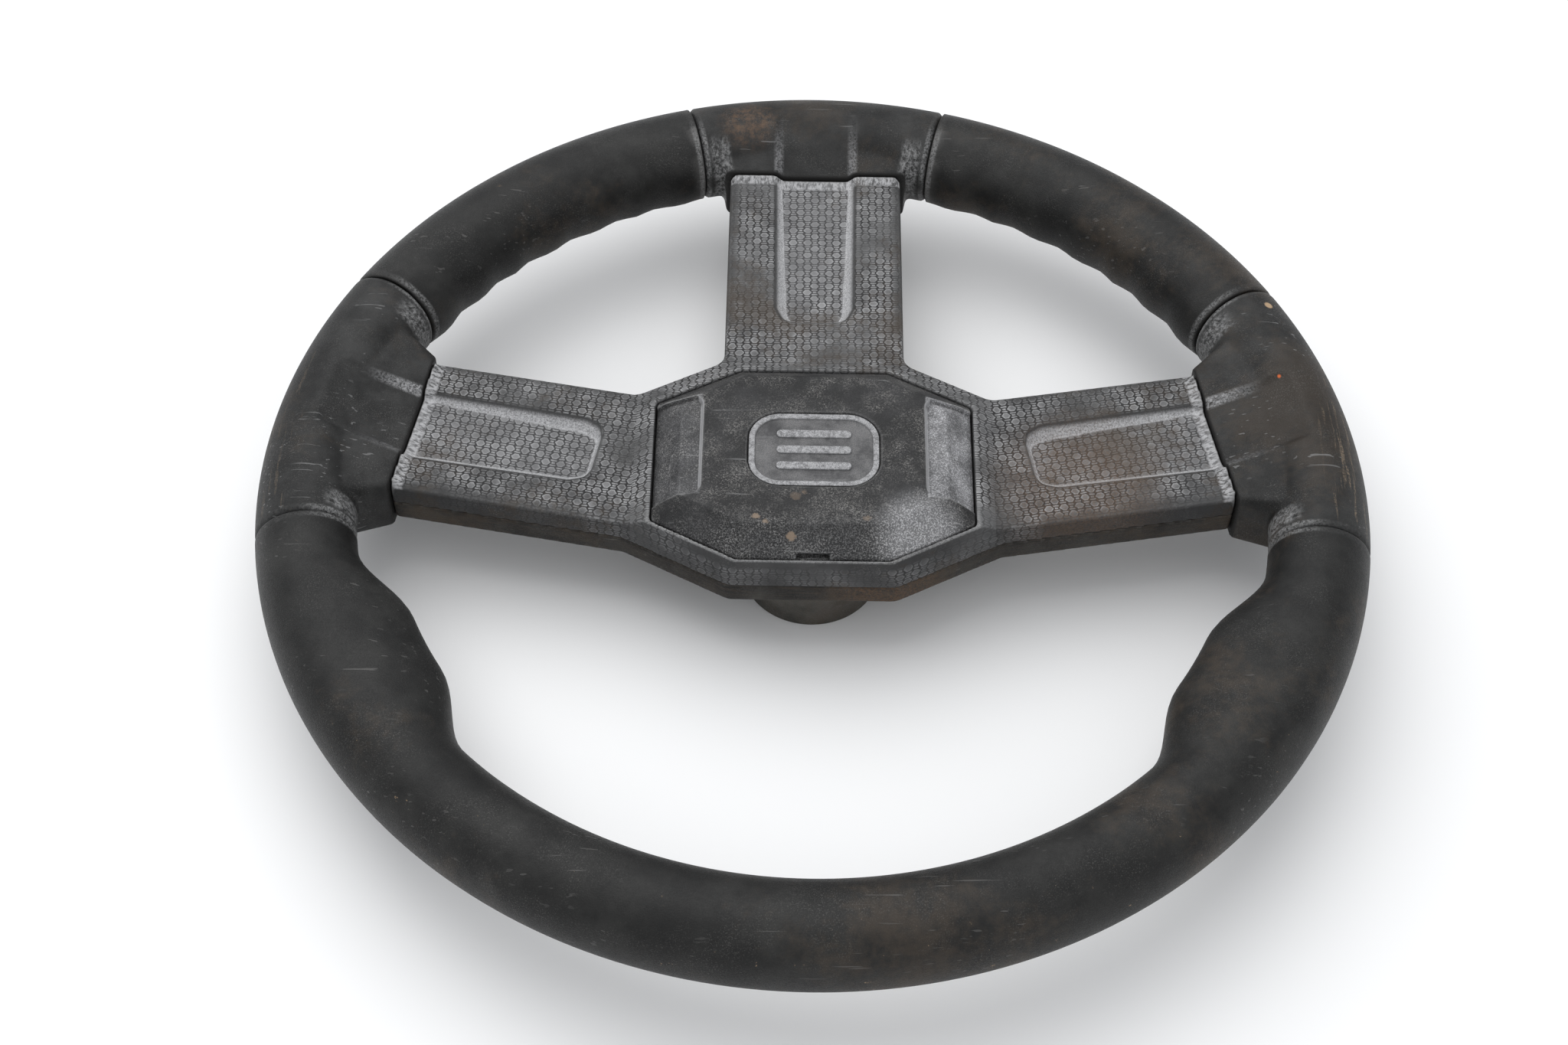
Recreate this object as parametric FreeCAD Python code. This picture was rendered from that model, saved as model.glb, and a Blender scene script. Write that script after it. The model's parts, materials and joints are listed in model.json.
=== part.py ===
"""Three-spoke off-road steering wheel.

A welded steel armature (ring, three bars, plate and splined sleeve) carries moulded rim grips,
spoke sockets, a textured front cover, a smooth rear cover and a pull-off centre cap.

Frame: origin on the column axis at the foot of the boss, +Z towards the driver, +Y along the
single lower spoke.  Left is -X and right is +X.  Millimetres and degrees.
"""
import FreeCAD, Part
import math
import os

V = FreeCAD.Vector
ORIGIN = V(0, 0, 0)
UP = V(0, 0, 1)

# ---- Rim ----
RIM_RADIUS = 162.0            # column axis to the middle of the rim
RIM_HEIGHT = 41.0             # foot of the boss to the middle of the rim
GRIP_RADIUS = 16.0            # half thickness of the round grip
PALM_SWELL = 11.7             # how far each palm swell stands in from the round section
PALM_RISE = (4.0, 17.0)       # degrees past a side socket where the swell grows
PALM_FALL = (26.0, 41.0)      # degrees past a side socket where the swell fades
RIPPLE_HEIGHT = 1.7           # finger ripples on the short arcs
RIPPLE_COUNT = 7
JOINT_GROOVE = 1.2            # radius of the round groove at each joint in the rim
SECTION_STEP = 2.2            # degrees between sections on the long grip
RIPPLE_STEPS = 6              # sections to one ripple

# ---- Spokes and their sockets ----
SIDE_TILT = 10.2              # each side spoke leans this far towards the lower spoke
SPOKE_TOP = 45.5
SPOKE_BOTTOM = 28.0
PARTING_HEIGHT = 37.3         # where the front and rear covers meet
SIDE_WIDTH = 54.4
LOWER_WIDTH = 60.0
SIDE_END = 133.0              # column axis to the end of a side spoke's cover
LOWER_END = 141.0
SIDE_SPAN = 18.2              # half angle that a side socket takes of the rim
LOWER_SPAN = 15.3
SOCKET_PROUD = 1.7            # sockets stand this far out from the spoke all round
END_RUN = 4.0                 # length of the short ramp at a spoke's rim end
END_RISE = 1.5
SOCKET_DEPTH = 4.0            # from the rim's middle line in to the end of the socket's neck
NECK_MARGIN = 3.0             # degrees from the neck's ridge to the end of the socket
NECK_CROWN = 1.5              # top of the rim down to the top of the neck
RIDGE_ROUND = 2.5
SHOULDER_ROUND = 2.0
REAR_DRAFT = 0.6              # rear cover's walls lean in by this much
REAR_CHAMFER = 1.4

# ---- Channels sunk in the spokes ----
CHANNEL_DEPTH_HUB = 4.2
CHANNEL_DEPTH_RIM = 2.8
CHANNEL_START = 70.8          # column axis to the hub end of a channel
CHANNEL_END_SLOPE = 2.0       # length of the slope at the hub end
CHANNEL_CORNER = 2.2          # cut off each hub corner, across the spoke
CHANNEL_CORNER_RUN = 5.0      # and along it
CHANNEL_HUB_WIDTH = 19.0      # width of the floor
CHANNEL_RIM_WIDTH = 23.2
CHANNEL_FADE = 1.0            # inside the rim's middle line, where the channel runs out
CHANNEL_HEADROOM = 7.0

# ---- Hub ----
HUB_NEAR = 35.0               # column axis to the upper wall of the hub (-Y)
HUB_FAR = 55.0                # column axis to where the lower wall would be (+Y)
HUB_FLAT = 27.0               # half length of the hub's flat ends
HUB_SLOPE = 28.3              # angle of the hub's and the cap's slanted sides
HUB_CORNER = 6.0              # plan radius between hub and spokes
LIP_RISE = 4.0                # lip above the spokes
LIP_WIDTH = 1.1
RAMP_SIDE = 9.0               # width of the ramp from the spokes up to the lip
RECESS_DEPTH = 7.5
ACCESS_RADIUS = 25.0          # opening round the column nut

# ---- Centre cap ----
CAP_CENTRE = 6.0              # offset of the cap along +Y
CAP_HALF_DEPTH = 38.8
CAP_HALF_WIDTH = 51.2
CAP_FLAT = 24.2               # half length of the cap's flat ends
CAP_GAP = 0.6
CAP_RISE = 7.0                # cap above the lip
CAP_EDGE_DROP = 0.6           # the cap's edge sits this far below the lip
CAP_SLOPE_WIDTH = 8.4
CAP_WALL = 2.5
CAP_ROOF = 3.5
CAP_FLOOR_GAP = 0.5
EAR_DEPTH = 2.4
EAR_INNER = 36.0              # cap's middle to the inner wall of each side pocket
EAR_NEAR = 19.0               # cap's centre to the pocket's near wall
EAR_FAR = 22.5
EAR_ROUND = 4.0
NOTCH_WIDTH = 10.5
NOTCH_DEPTH = 1.9
LEG_WIDTH = 9.0
LEG_THICKNESS = 2.2
LEG_BARB = 0.6
LEG_TIP_GAP = 0.8
SLOT_CLEARANCE = 0.4
LEG_PLACES = ((-20.0, -24.0, 1), (20.0, -24.0, 1), (-25.0, 34.0, -1), (25.0, 34.0, -1))

# ---- Badge ----
BADGE_WIDTH = 43.0
BADGE_HEIGHT = 31.0
BADGE_CORNER = 11.5
BADGE_POCKET = 1.8
BADGE_SLOPE = 0.5
BADGE_CLEARANCE = 0.15
BADGE_PLATE = 0.7
BADGE_RELIEF = 0.7
BADGE_BORDER = 1.7
BAR_COUNT = 3
BAR_LENGTH = 24.0
BAR_WIDTH = 3.0
BAR_PITCH = 6.6

# ---- Armature ----
CORE_RADIUS = 5.0             # round steel ring
CORE_CLEARANCE = 0.1          # moulding to steel
BAR_STEEL_WIDTH = 20.0
BAR_STEEL_THICKNESS = 6.0
BAR_STEEL_BOTTOM = 34.0
PLATE_RADIUS = 31.0
PLATE_THICKNESS = 4.0
SLEEVE_RADIUS = 16.0
SLEEVE_TOP = 41.0
BOSS_RADIUS = 22.8
BOSS_CHAMFER = 1.2
PILOT_RADIUS = 8.75
PILOT_LENGTH = 12.0
SPLINE_TEETH = 36
SPLINE_DEPTH = 0.55
WELD_RADIUS = 2.5

# ---- Screws in the back ----
SCREW_REACH = 100.0           # column axis to a screw, along its spoke
SCREW_OFFSET = 19.0           # spoke's middle line to a screw
SCREW_RADIUS = 2.0
SCREW_TIP = 43.5
HEAD_RADIUS = 4.0
HEAD_HEIGHT = 2.4
HEAD_SINK = 0.8               # head below the cover's back face
HEAD_CLEARANCE = 0.5
SOCKET_HEX = 2.6              # across the flats of the drive recess
SOCKET_HEX_DEPTH = 1.4

# ---- Worked out from the sizes above ----
RIGHT_ANGLE = SIDE_TILT
LEFT_ANGLE = 180.0 - SIDE_TILT
LOWER_ANGLE = 90.0
BAR_STEEL_TOP = BAR_STEEL_BOTTOM + BAR_STEEL_THICKNESS
PLATE_BOTTOM = BAR_STEEL_BOTTOM - PLATE_THICKNESS
LIP_TOP = SPOKE_TOP + LIP_RISE
RECESS_FLOOR = LIP_TOP - RECESS_DEPTH
CAP_EDGE = LIP_TOP - CAP_EDGE_DROP
CAP_TOP = LIP_TOP + CAP_RISE
CAP_FOOT = RECESS_FLOOR + CAP_FLOOR_GAP
BADGE_FLOOR = CAP_TOP - BADGE_POCKET

SPOKES = {
    "right": dict(angle=RIGHT_ANGLE, width=SIDE_WIDTH, end=SIDE_END, span=SIDE_SPAN),
    "left": dict(angle=LEFT_ANGLE, width=SIDE_WIDTH, end=SIDE_END, span=SIDE_SPAN),
    "lower": dict(angle=LOWER_ANGLE, width=LOWER_WIDTH, end=LOWER_END, span=LOWER_SPAN),
}


# ---- Geometry helpers ----
def polar(radius, angle, height=0.0):
    """Point at a radius and an angle in degrees round the column axis."""
    turn = math.radians(angle)
    return V(radius * math.cos(turn), radius * math.sin(turn), height)


def turned(shape, angle):
    """Copy of a shape turned about the column axis."""
    copy = shape.copy()
    copy.rotate(ORIGIN, UP, angle)
    return copy


def wire(points):
    """Closed wire of straight edges."""
    return Part.makePolygon(list(points) + [points[0]])


def prism(outline, bottom, top):
    """Solid standing on a wire that lies at height 0."""
    base = outline.copy()
    base.translate(V(0, 0, bottom))
    return Part.Face(base).extrude(V(0, 0, top - bottom))


def stack(outlines):
    """Straight-sided solid through (wire at height 0, height) pairs."""
    sections = []
    for outline, height in outlines:
        section = outline.copy()
        section.translate(V(0, 0, height))
        sections.append(section)
    return Part.makeLoft(sections, True, True)


def cylinder(radius, bottom, top, centre=ORIGIN):
    """Upright cylinder between two heights."""
    return Part.makeCylinder(radius, top - bottom, V(centre.x, centre.y, bottom), UP)


def fused(shapes):
    """One solid from several."""
    whole = shapes[0]
    for shape in shapes[1:]:
        whole = whole.fuse(shape)
    return whole.removeSplitter()


def cut(shape, *tools):
    """Shape less each tool in turn."""
    for tool in tools:
        shape = shape.cut(tool)
    return shape


def crossing(first, second):
    """Where two lines meet; each is (point, direction)."""
    (p, a), (q, b) = first, second
    scale = (b.y * (q.x - p.x) - b.x * (q.y - p.y)) / (a.x * b.y - a.y * b.x)
    return p + a * scale


def outline_from(lines, rounds):
    """Closed wire along lines given anticlockwise, with each corner rounded."""
    corners = []
    for k in range(len(lines)):
        corners.append(crossing(lines[k - 1], lines[k]))
    edges = []
    count = len(corners)
    starts = []
    ends = []
    arcs = []
    for k, corner in enumerate(corners):
        before = (corners[k - 1] - corner).normalize()
        after = (corners[(k + 1) % count] - corner).normalize()
        half = before.getAngle(after) / 2
        reach = rounds[k] / math.tan(half)
        middle = (before + after).normalize()
        centre = corner + middle * (rounds[k] / math.sin(half))
        starts.append(corner + before * reach)
        ends.append(corner + after * reach)
        arcs.append(centre - middle * rounds[k])
    for k in range(count):
        edges.append(Part.Arc(starts[k], arcs[k], ends[k]).toShape())
        edges.append(Part.LineSegment(ends[k], starts[(k + 1) % count]).toShape())
    return Part.Wire(edges)


def rounded_box(width, height, corner):
    """Rounded rectangle about the origin."""
    lines = []
    for turn, reach in ((-90, height / 2), (0, width / 2), (90, height / 2), (180, width / 2)):
        outward = polar(1, turn)
        lines.append((outward * reach, polar(1, turn + 90)))
    return outline_from(lines, [corner] * 4)


def octagon(near, far, side, flat, slope, corner, centre=0.0):
    """Octagon with flat ends near and far and slanted sides between them."""
    rise = math.radians(slope)
    slant = V(math.cos(rise), math.sin(rise), 0)
    slant_back = V(math.cos(rise), -math.sin(rise), 0)
    lines = [
        (V(0, -near, 0), V(1, 0, 0)),
        (V(flat, -near, 0), slant),
        (V(side, 0, 0), V(0, 1, 0)),
        (V(flat, far, 0), slant_back * -1),
        (V(0, far, 0), V(-1, 0, 0)),
        (V(-flat, far, 0), slant * -1),
        (V(-side, 0, 0), V(0, -1, 0)),
        (V(-flat, -near, 0), slant_back),
    ]
    outline = outline_from(lines, [corner] * 8)
    outline.translate(V(0, centre, 0))
    return outline


def cap_outline(grow, corner=2.0):
    """The cap's outline at height 0, grown or shrunk by the same amount all round."""
    half = math.radians(HUB_SLOPE) / 2
    flat = CAP_FLAT + grow * math.tan(half)
    depth = CAP_HALF_DEPTH + grow
    return octagon(depth, depth, CAP_HALF_WIDTH + grow, flat, HUB_SLOPE, corner, CAP_CENTRE)


def hub_outline(inset):
    """The hub's outline at height 0 where the ramp starts."""
    half = math.radians(HUB_SLOPE) / 2
    flat = HUB_FLAT - inset * math.tan(half)
    side = CAP_HALF_WIDTH + CAP_GAP + LIP_WIDTH + RAMP_SIDE - inset
    return octagon(HUB_NEAR - inset, HUB_FAR - inset, side, flat, HUB_SLOPE, 2.0)


def cover_outline(inset):
    """Plan of the hub and the three spokes, with every long wall moved in by inset."""
    rise = math.radians(HUB_SLOPE)
    slant = V(math.cos(rise), math.sin(rise), 0)
    slant_back = V(-math.cos(rise), math.sin(rise), 0)
    slant_in = V(-slant.y, slant.x, 0)
    far_in = V(-slant_back.y, slant_back.x, 0)
    right = polar(1, RIGHT_ANGLE)
    right_side = polar(1, RIGHT_ANGLE + 90)
    half = SIDE_WIDTH / 2 - inset
    lower_half = LOWER_WIDTH / 2 - inset
    half_plan = [
        (V(HUB_FLAT, -HUB_NEAR, 0) + slant_in * inset, slant),
        (right_side * -half, right),
        (right * SIDE_END, right_side),
        (right_side * half, right * -1),
        (V(HUB_FLAT, HUB_FAR, 0) + far_in * inset, slant_back),
        (V(lower_half, 0, 0), V(0, 1, 0)),
    ]
    lines = [(V(0, -HUB_NEAR + inset, 0), V(1, 0, 0))] + half_plan
    lines.append((V(0, LOWER_END, 0), V(-1, 0, 0)))
    for point, way in reversed(half_plan):
        lines.append((V(-point.x, point.y, 0), V(way.x, -way.y, 0)))
    soft = HUB_CORNER
    tight = 0.6
    rounds = [soft, soft, soft, tight, tight, soft, soft, tight]
    rounds += [tight, soft, soft, tight, tight, soft]
    return outline_from(lines, rounds)


# ---- Armature ----
def core_ring(radius):
    """The steel ring, or the bore for it."""
    return Part.makeTorus(RIM_RADIUS, radius, V(0, 0, RIM_HEIGHT), UP)


def spoke_bar(grow):
    """A flat bar from the sleeve out to the ring, lying along +X; grow makes its slot."""
    half = BAR_STEEL_WIDTH / 2 + grow
    start = V(SLEEVE_RADIUS - 2, -half, BAR_STEEL_BOTTOM - grow)
    bar = Part.makeBox(RIM_RADIUS - start.x, 2 * half, BAR_STEEL_THICKNESS + 2 * grow, start)
    return bar


def steel_bar(angle):
    """One finished bar: coped to the ring outside and to the sleeve inside."""
    bar = cut(spoke_bar(0), core_ring(CORE_RADIUS), cylinder(SLEEVE_RADIUS, 0, SLEEVE_TOP + 1))
    inner = max(bar.Solids, key=lambda solid: solid.Volume)
    return turned(inner, angle)


def ring_bead(grow):
    """Round bead where a bar along +X meets the ring; grow makes the room for it."""
    half = BAR_STEEL_WIDTH / 2 + grow
    start = V(RIM_RADIUS - CORE_RADIUS, -half, BAR_STEEL_TOP)
    return Part.makeCylinder(WELD_RADIUS + grow, 2 * half, start, V(0, 1, 0))


def ring_welds():
    """A bead on top of each bar, in the corner that it makes with the ring."""
    beads = []
    for spoke in SPOKES.values():
        bead = cut(ring_bead(0), core_ring(CORE_RADIUS), spoke_bar(0))
        bead = max(bead.Solids, key=lambda solid: solid.Volume)
        beads.append(turned(bead, spoke["angle"]))
    return Part.makeCompound(beads)


def hub_welds():
    """A fillet bead round the sleeve on top of the plate, between the bars."""
    section = wire([
        V(SLEEVE_RADIUS, 0, BAR_STEEL_BOTTOM),
        V(SLEEVE_RADIUS + WELD_RADIUS, 0, BAR_STEEL_BOTTOM),
        V(SLEEVE_RADIUS, 0, BAR_STEEL_BOTTOM + WELD_RADIUS),
    ])
    bead = Part.Face(section).revolve(ORIGIN, UP, 360)
    for spoke in SPOKES.values():
        bead = bead.cut(turned(spoke_bar(0), spoke["angle"]))
    return Part.makeCompound(bead.Solids)


def hub_plate():
    """Disc under the bars, welded to the sleeve."""
    plate = cylinder(PLATE_RADIUS, PLATE_BOTTOM, BAR_STEEL_BOTTOM)
    return cut(plate, cylinder(SLEEVE_RADIUS, 0, SLEEVE_TOP))


def spline_outline():
    """Toothed bore of the sleeve, at height 0."""
    points = []
    step = 360.0 / SPLINE_TEETH
    for tooth in range(SPLINE_TEETH):
        start = tooth * step
        for share, radius in (
            (0.00, PILOT_RADIUS),
            (0.30, PILOT_RADIUS),
            (0.50, PILOT_RADIUS - SPLINE_DEPTH),
            (0.80, PILOT_RADIUS - SPLINE_DEPTH),
        ):
            points.append(polar(radius, start + share * step))
    return wire(points)


def hub_sleeve():
    """Steel boss: a plain pilot bore at the foot and the spline above it."""
    sleeve = cylinder(SLEEVE_RADIUS, 0, SLEEVE_TOP)
    pilot = cylinder(PILOT_RADIUS, -1, PILOT_LENGTH)
    spline = prism(spline_outline(), PILOT_LENGTH - 1, SLEEVE_TOP + 1)
    return cut(sleeve, pilot, spline)


# ---- Rim mouldings ----
def smooth_step(value, span):
    """0 before the span, 1 after it, and a soft curve between."""
    share = min(1.0, max(0.0, (value - span[0]) / (span[1] - span[0])))
    return share * share * (3 - 2 * share)


def palm_swell(past):
    """Swell of the long grip, this many degrees past a side socket."""
    return PALM_SWELL * smooth_step(past, PALM_RISE) * (1 - smooth_step(past, PALM_FALL))


def grip_section(angle, swell):
    """Section of the rim: a round outer half and an inner half that swells inwards."""
    outward = polar(1, angle)
    centre = polar(RIM_RADIUS, angle, RIM_HEIGHT)
    top = centre + UP * GRIP_RADIUS
    bottom = centre - UP * GRIP_RADIUS
    deepest = centre - outward * (GRIP_RADIUS + max(swell, 0.01))
    oval = Part.Ellipse(deepest, top, centre)
    inner = Part.ArcOfEllipse(oval, -math.pi / 2, math.pi / 2).toShape()
    outer = Part.Arc(top, centre + outward * GRIP_RADIUS, bottom).toShape()
    return Part.Wire([inner, outer])


def rim_joint(angle):
    """Cutter for the round groove where two rim mouldings meet."""
    return Part.makeTorus(GRIP_RADIUS, JOINT_GROOVE, polar(RIM_RADIUS, angle, RIM_HEIGHT),
                          polar(1, angle + 90))


def grip(angles, swells):
    """A grip lofted through sections, bored for the ring and grooved at both ends."""
    sections = [grip_section(angle, swell) for angle, swell in zip(angles, swells)]
    body = Part.makeLoft(sections, True, False)
    return cut(body, core_ring(CORE_RADIUS + CORE_CLEARANCE), rim_joint(angles[0]),
               rim_joint(angles[-1]))


def spread(start, end, count):
    """Evenly spaced angles from start to end."""
    return [start + (end - start) * k / count for k in range(count + 1)]


def long_grip():
    """The large arc, with a palm swell beside each side socket."""
    start = LEFT_ANGLE + SIDE_SPAN
    end = RIGHT_ANGLE - SIDE_SPAN + 360
    angles = spread(start, end, round((end - start) / SECTION_STEP))
    swells = [palm_swell(a - start) + palm_swell(end - a) for a in angles]
    return grip(angles, swells)


def rippled_grip(start, end):
    """A short arc with finger ripples along its inside."""
    angles = spread(start, end, RIPPLE_COUNT * RIPPLE_STEPS)
    swells = []
    for k in range(len(angles)):
        wave = math.sin(math.pi * k / RIPPLE_STEPS)
        swells.append(RIPPLE_HEIGHT * wave * wave)
    return grip(angles, swells)


# ---- Channels ----
def channel(stations):
    """Cutter with sloping walls, along +X; each station is (distance, floor width, height)."""
    sections = []
    for reach, floor, height in stations:
        half = floor / 2
        top = half + CHANNEL_HEADROOM
        sections.append(wire([
            V(reach, -half, height),
            V(reach, half, height),
            V(reach, top, height + CHANNEL_HEADROOM),
            V(reach, -top, height + CHANNEL_HEADROOM),
        ]))
    return Part.makeLoft(sections, True, True)


def spoke_channel(spoke):
    """The part of a channel that lies in the spoke."""
    hub_bed = SPOKE_TOP - CHANNEL_DEPTH_HUB
    rim_bed = SPOKE_TOP - CHANNEL_DEPTH_RIM
    foot = CHANNEL_START + CHANNEL_END_SLOPE
    narrow = CHANNEL_HUB_WIDTH - 2 * CHANNEL_CORNER
    return channel([
        (CHANNEL_START, narrow - 1, SPOKE_TOP + 0.4),
        (foot, narrow, hub_bed),
        (foot + CHANNEL_CORNER_RUN, CHANNEL_HUB_WIDTH, hub_bed),
        (spoke["end"] - END_RUN, CHANNEL_RIM_WIDTH, rim_bed),
        (spoke["end"] + 1, CHANNEL_RIM_WIDTH, rim_bed + END_RISE * (1 + 1 / END_RUN)),
    ])


def socket_channel(spoke):
    """The part of a channel that climbs the socket and runs out on the rim."""
    floor = CHANNEL_RIM_WIDTH
    bed = SPOKE_TOP + SOCKET_PROUD - CHANNEL_DEPTH_RIM
    crown = RIM_HEIGHT + GRIP_RADIUS
    inside = RIM_RADIUS - 0.75 * GRIP_RADIUS
    return channel([
        (spoke["end"] - 1, floor, bed),
        (inside, floor + 1, crown - 0.36 * GRIP_RADIUS),
        (RIM_RADIUS - CHANNEL_FADE, floor + 3, crown),
    ])


# ---- Sockets ----
def socket_neck(spoke):
    """Block that flares from the spoke into the rim, with softened ridges."""
    start = spoke["end"]
    end = RIM_RADIUS - SOCKET_DEPTH
    half = spoke["width"] / 2 + SOCKET_PROUD
    wide = end * math.tan(math.radians(spoke["span"] - NECK_MARGIN))
    crown = RIM_HEIGHT + GRIP_RADIUS - NECK_CROWN
    keel = RIM_HEIGHT - GRIP_RADIUS + NECK_CROWN
    sections = []
    for reach, across, low, high in (
        (start, half, SPOKE_BOTTOM - SOCKET_PROUD, SPOKE_TOP + SOCKET_PROUD),
        (end, wide, keel, crown),
    ):
        sections.append(wire([
            V(reach, -across, low),
            V(reach, across, low),
            V(reach, across, high),
            V(reach, -across, high),
        ]))
    neck = Part.makeLoft(sections, True, True)
    long_edges = [e for e in neck.Edges if e.BoundBox.XLength > (end - start) / 2]
    return neck.makeFillet(RIDGE_ROUND, long_edges)


def spoke_socket(spoke):
    """Smooth moulding over the joint between a spoke and the rim."""
    circle = Part.Circle(V(RIM_RADIUS, 0, RIM_HEIGHT), V(0, 1, 0), GRIP_RADIUS)
    tube = Part.Face(Part.Wire([circle.toShape()])).revolve(ORIGIN, UP, 2 * spoke["span"])
    tube = turned(tube, -spoke["span"])
    socket = fused([tube, socket_neck(spoke)])
    socket = cut(socket, socket_channel(spoke), core_ring(CORE_RADIUS + CORE_CLEARANCE),
                 spoke_bar(CORE_CLEARANCE), ring_bead(CORE_CLEARANCE),
                 rim_joint(spoke["span"]), rim_joint(-spoke["span"]))
    return turned(max(socket.Solids, key=lambda solid: solid.Volume), spoke["angle"])


# ---- Hub covers ----
def steel_space():
    """Everything that the covers leave free for the armature."""
    gap = CORE_CLEARANCE
    space = [cylinder(SLEEVE_RADIUS + gap, -1, SLEEVE_TOP + 1)]
    space.append(cylinder(PLATE_RADIUS + gap, PLATE_BOTTOM - gap, BAR_STEEL_BOTTOM + gap))
    space.append(cylinder(SLEEVE_RADIUS + WELD_RADIUS + gap, BAR_STEEL_BOTTOM,
                          BAR_STEEL_BOTTOM + WELD_RADIUS + gap))
    for spoke in SPOKES.values():
        space.append(turned(spoke_bar(gap), spoke["angle"]))
    return space


def leg_outline(grow, inward):
    """Plan of a cap leg at height 0, with its barb on the side that faces out."""
    back = LEG_THICKNESS / 2 + grow
    front = LEG_THICKNESS / 2 + LEG_BARB + grow
    near, far = (front, back) if inward > 0 else (back, front)
    half = LEG_WIDTH / 2 + grow
    return wire([V(-half, -near, 0), V(half, -near, 0), V(half, far, 0), V(-half, far, 0)])


def screw_places(spoke):
    """Where the two screws of a spoke stand, turned into place."""
    places = []
    for side in (-1, 1):
        point = V(SCREW_REACH, side * SCREW_OFFSET, 0)
        places.append(turned(Part.Vertex(point), spoke["angle"]).Point)
    return places


def end_ramp(spoke):
    """Wedge on top of a spoke that lifts its rim end towards the socket."""
    sections = []
    for reach, inset, rise in (
        (spoke["end"] - END_RUN, SHOULDER_ROUND, 0.02),
        (spoke["end"], SHOULDER_ROUND / 2, END_RISE),
    ):
        half = spoke["width"] / 2 - inset
        sections.append(wire([
            V(reach, -half, SPOKE_TOP - 1),
            V(reach, half, SPOKE_TOP - 1),
            V(reach, half, SPOKE_TOP + rise),
            V(reach, -half, SPOKE_TOP + rise),
        ]))
    return turned(Part.makeLoft(sections, True, True), spoke["angle"])


def front_cover():
    """Hub and spokes above the parting line, with the lip, the recess and the channels."""
    slab = prism(cover_outline(0), PARTING_HEIGHT, SPOKE_TOP)
    rim_of_top = [e for e in slab.Edges if e.BoundBox.ZMin > SPOKE_TOP - 0.01]
    slab = slab.makeFillet(SHOULDER_ROUND, rim_of_top)
    lip = cap_outline(CAP_GAP + LIP_WIDTH)
    ramp = stack([(hub_outline(0.6), SPOKE_TOP - 1.5), (lip, LIP_TOP)])
    cover = fused([slab, ramp] + [end_ramp(spoke) for spoke in SPOKES.values()])
    recess = prism(cap_outline(CAP_GAP), RECESS_FLOOR, LIP_TOP + 1)
    access = cylinder(ACCESS_RADIUS, PARTING_HEIGHT - 1, LIP_TOP)
    cover = cut(cover, recess, access, *steel_space())
    for spoke in SPOKES.values():
        cover = cover.cut(turned(spoke_channel(spoke), spoke["angle"]))
        for place in screw_places(spoke):
            cover = cover.cut(cylinder(SCREW_RADIUS, 0, SCREW_TIP, place))
    for x, y, inward in LEG_PLACES:
        slot = prism(leg_outline(SLOT_CLEARANCE, inward), PARTING_HEIGHT - 1, RECESS_FLOOR + 1)
        slot.translate(V(x, CAP_CENTRE + y, 0))
        cover = cover.cut(slot)
    return cover


def rear_cover():
    """Smooth back half of the hub and spokes."""
    cover = stack([
        (cover_outline(REAR_DRAFT + REAR_CHAMFER), SPOKE_BOTTOM),
        (cover_outline(REAR_DRAFT), SPOKE_BOTTOM + REAR_CHAMFER),
        (cover_outline(0), PARTING_HEIGHT),
    ])
    cover = cut(cover, *steel_space())
    head_top = SPOKE_BOTTOM + HEAD_SINK + HEAD_HEIGHT
    for spoke in SPOKES.values():
        for place in screw_places(spoke):
            well = cylinder(HEAD_RADIUS + HEAD_CLEARANCE, 0, head_top, place)
            cover = cut(cover, well, cylinder(SCREW_RADIUS, 0, PARTING_HEIGHT + 1, place))
    return cover


def boss_sleeve():
    """Round moulding over the steel sleeve, between the foot and the rear cover."""
    sleeve = cylinder(BOSS_RADIUS, 0, SPOKE_BOTTOM)
    foot = [e for e in sleeve.Edges if e.BoundBox.ZMax < 0.01]
    sleeve = sleeve.makeChamfer(BOSS_CHAMFER, foot)
    return sleeve.cut(cylinder(SLEEVE_RADIUS + CORE_CLEARANCE, -1, SPOKE_BOTTOM + 1))


def cover_screws():
    """Pan-head self-tapping screws driven up through the rear cover."""
    screws = []
    head_low = SPOKE_BOTTOM + HEAD_SINK
    head_top = head_low + HEAD_HEIGHT
    for spoke in SPOKES.values():
        for place in screw_places(spoke):
            shank = cylinder(SCREW_RADIUS, head_low, SCREW_TIP, place)
            head = cylinder(HEAD_RADIUS, head_low, head_top, place)
            rim_edge = [e for e in head.Edges if e.BoundBox.ZMax < head_low + 0.01]
            head = head.makeFillet(0.8, rim_edge)
            drive = wire([polar(SOCKET_HEX / 2 / math.cos(math.pi / 6), 60 * k) for k in range(6)])
            drive.translate(V(place.x, place.y, 0))
            drive = prism(drive, head_low - 1, head_low + SOCKET_HEX_DEPTH)
            screws.append(fused([shank, head]).cut(drive))
    return Part.makeCompound(screws)


# ---- Centre cap and badge ----
def cap_block(drop, shrink, foot):
    """The cap's faceted form, lowered and shrunk, standing on a height."""
    edge = CAP_EDGE - drop
    return stack([
        (cap_outline(-shrink), foot),
        (cap_outline(-shrink), edge),
        (cap_outline(-shrink - CAP_SLOPE_WIDTH), CAP_TOP - drop),
    ])


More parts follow.
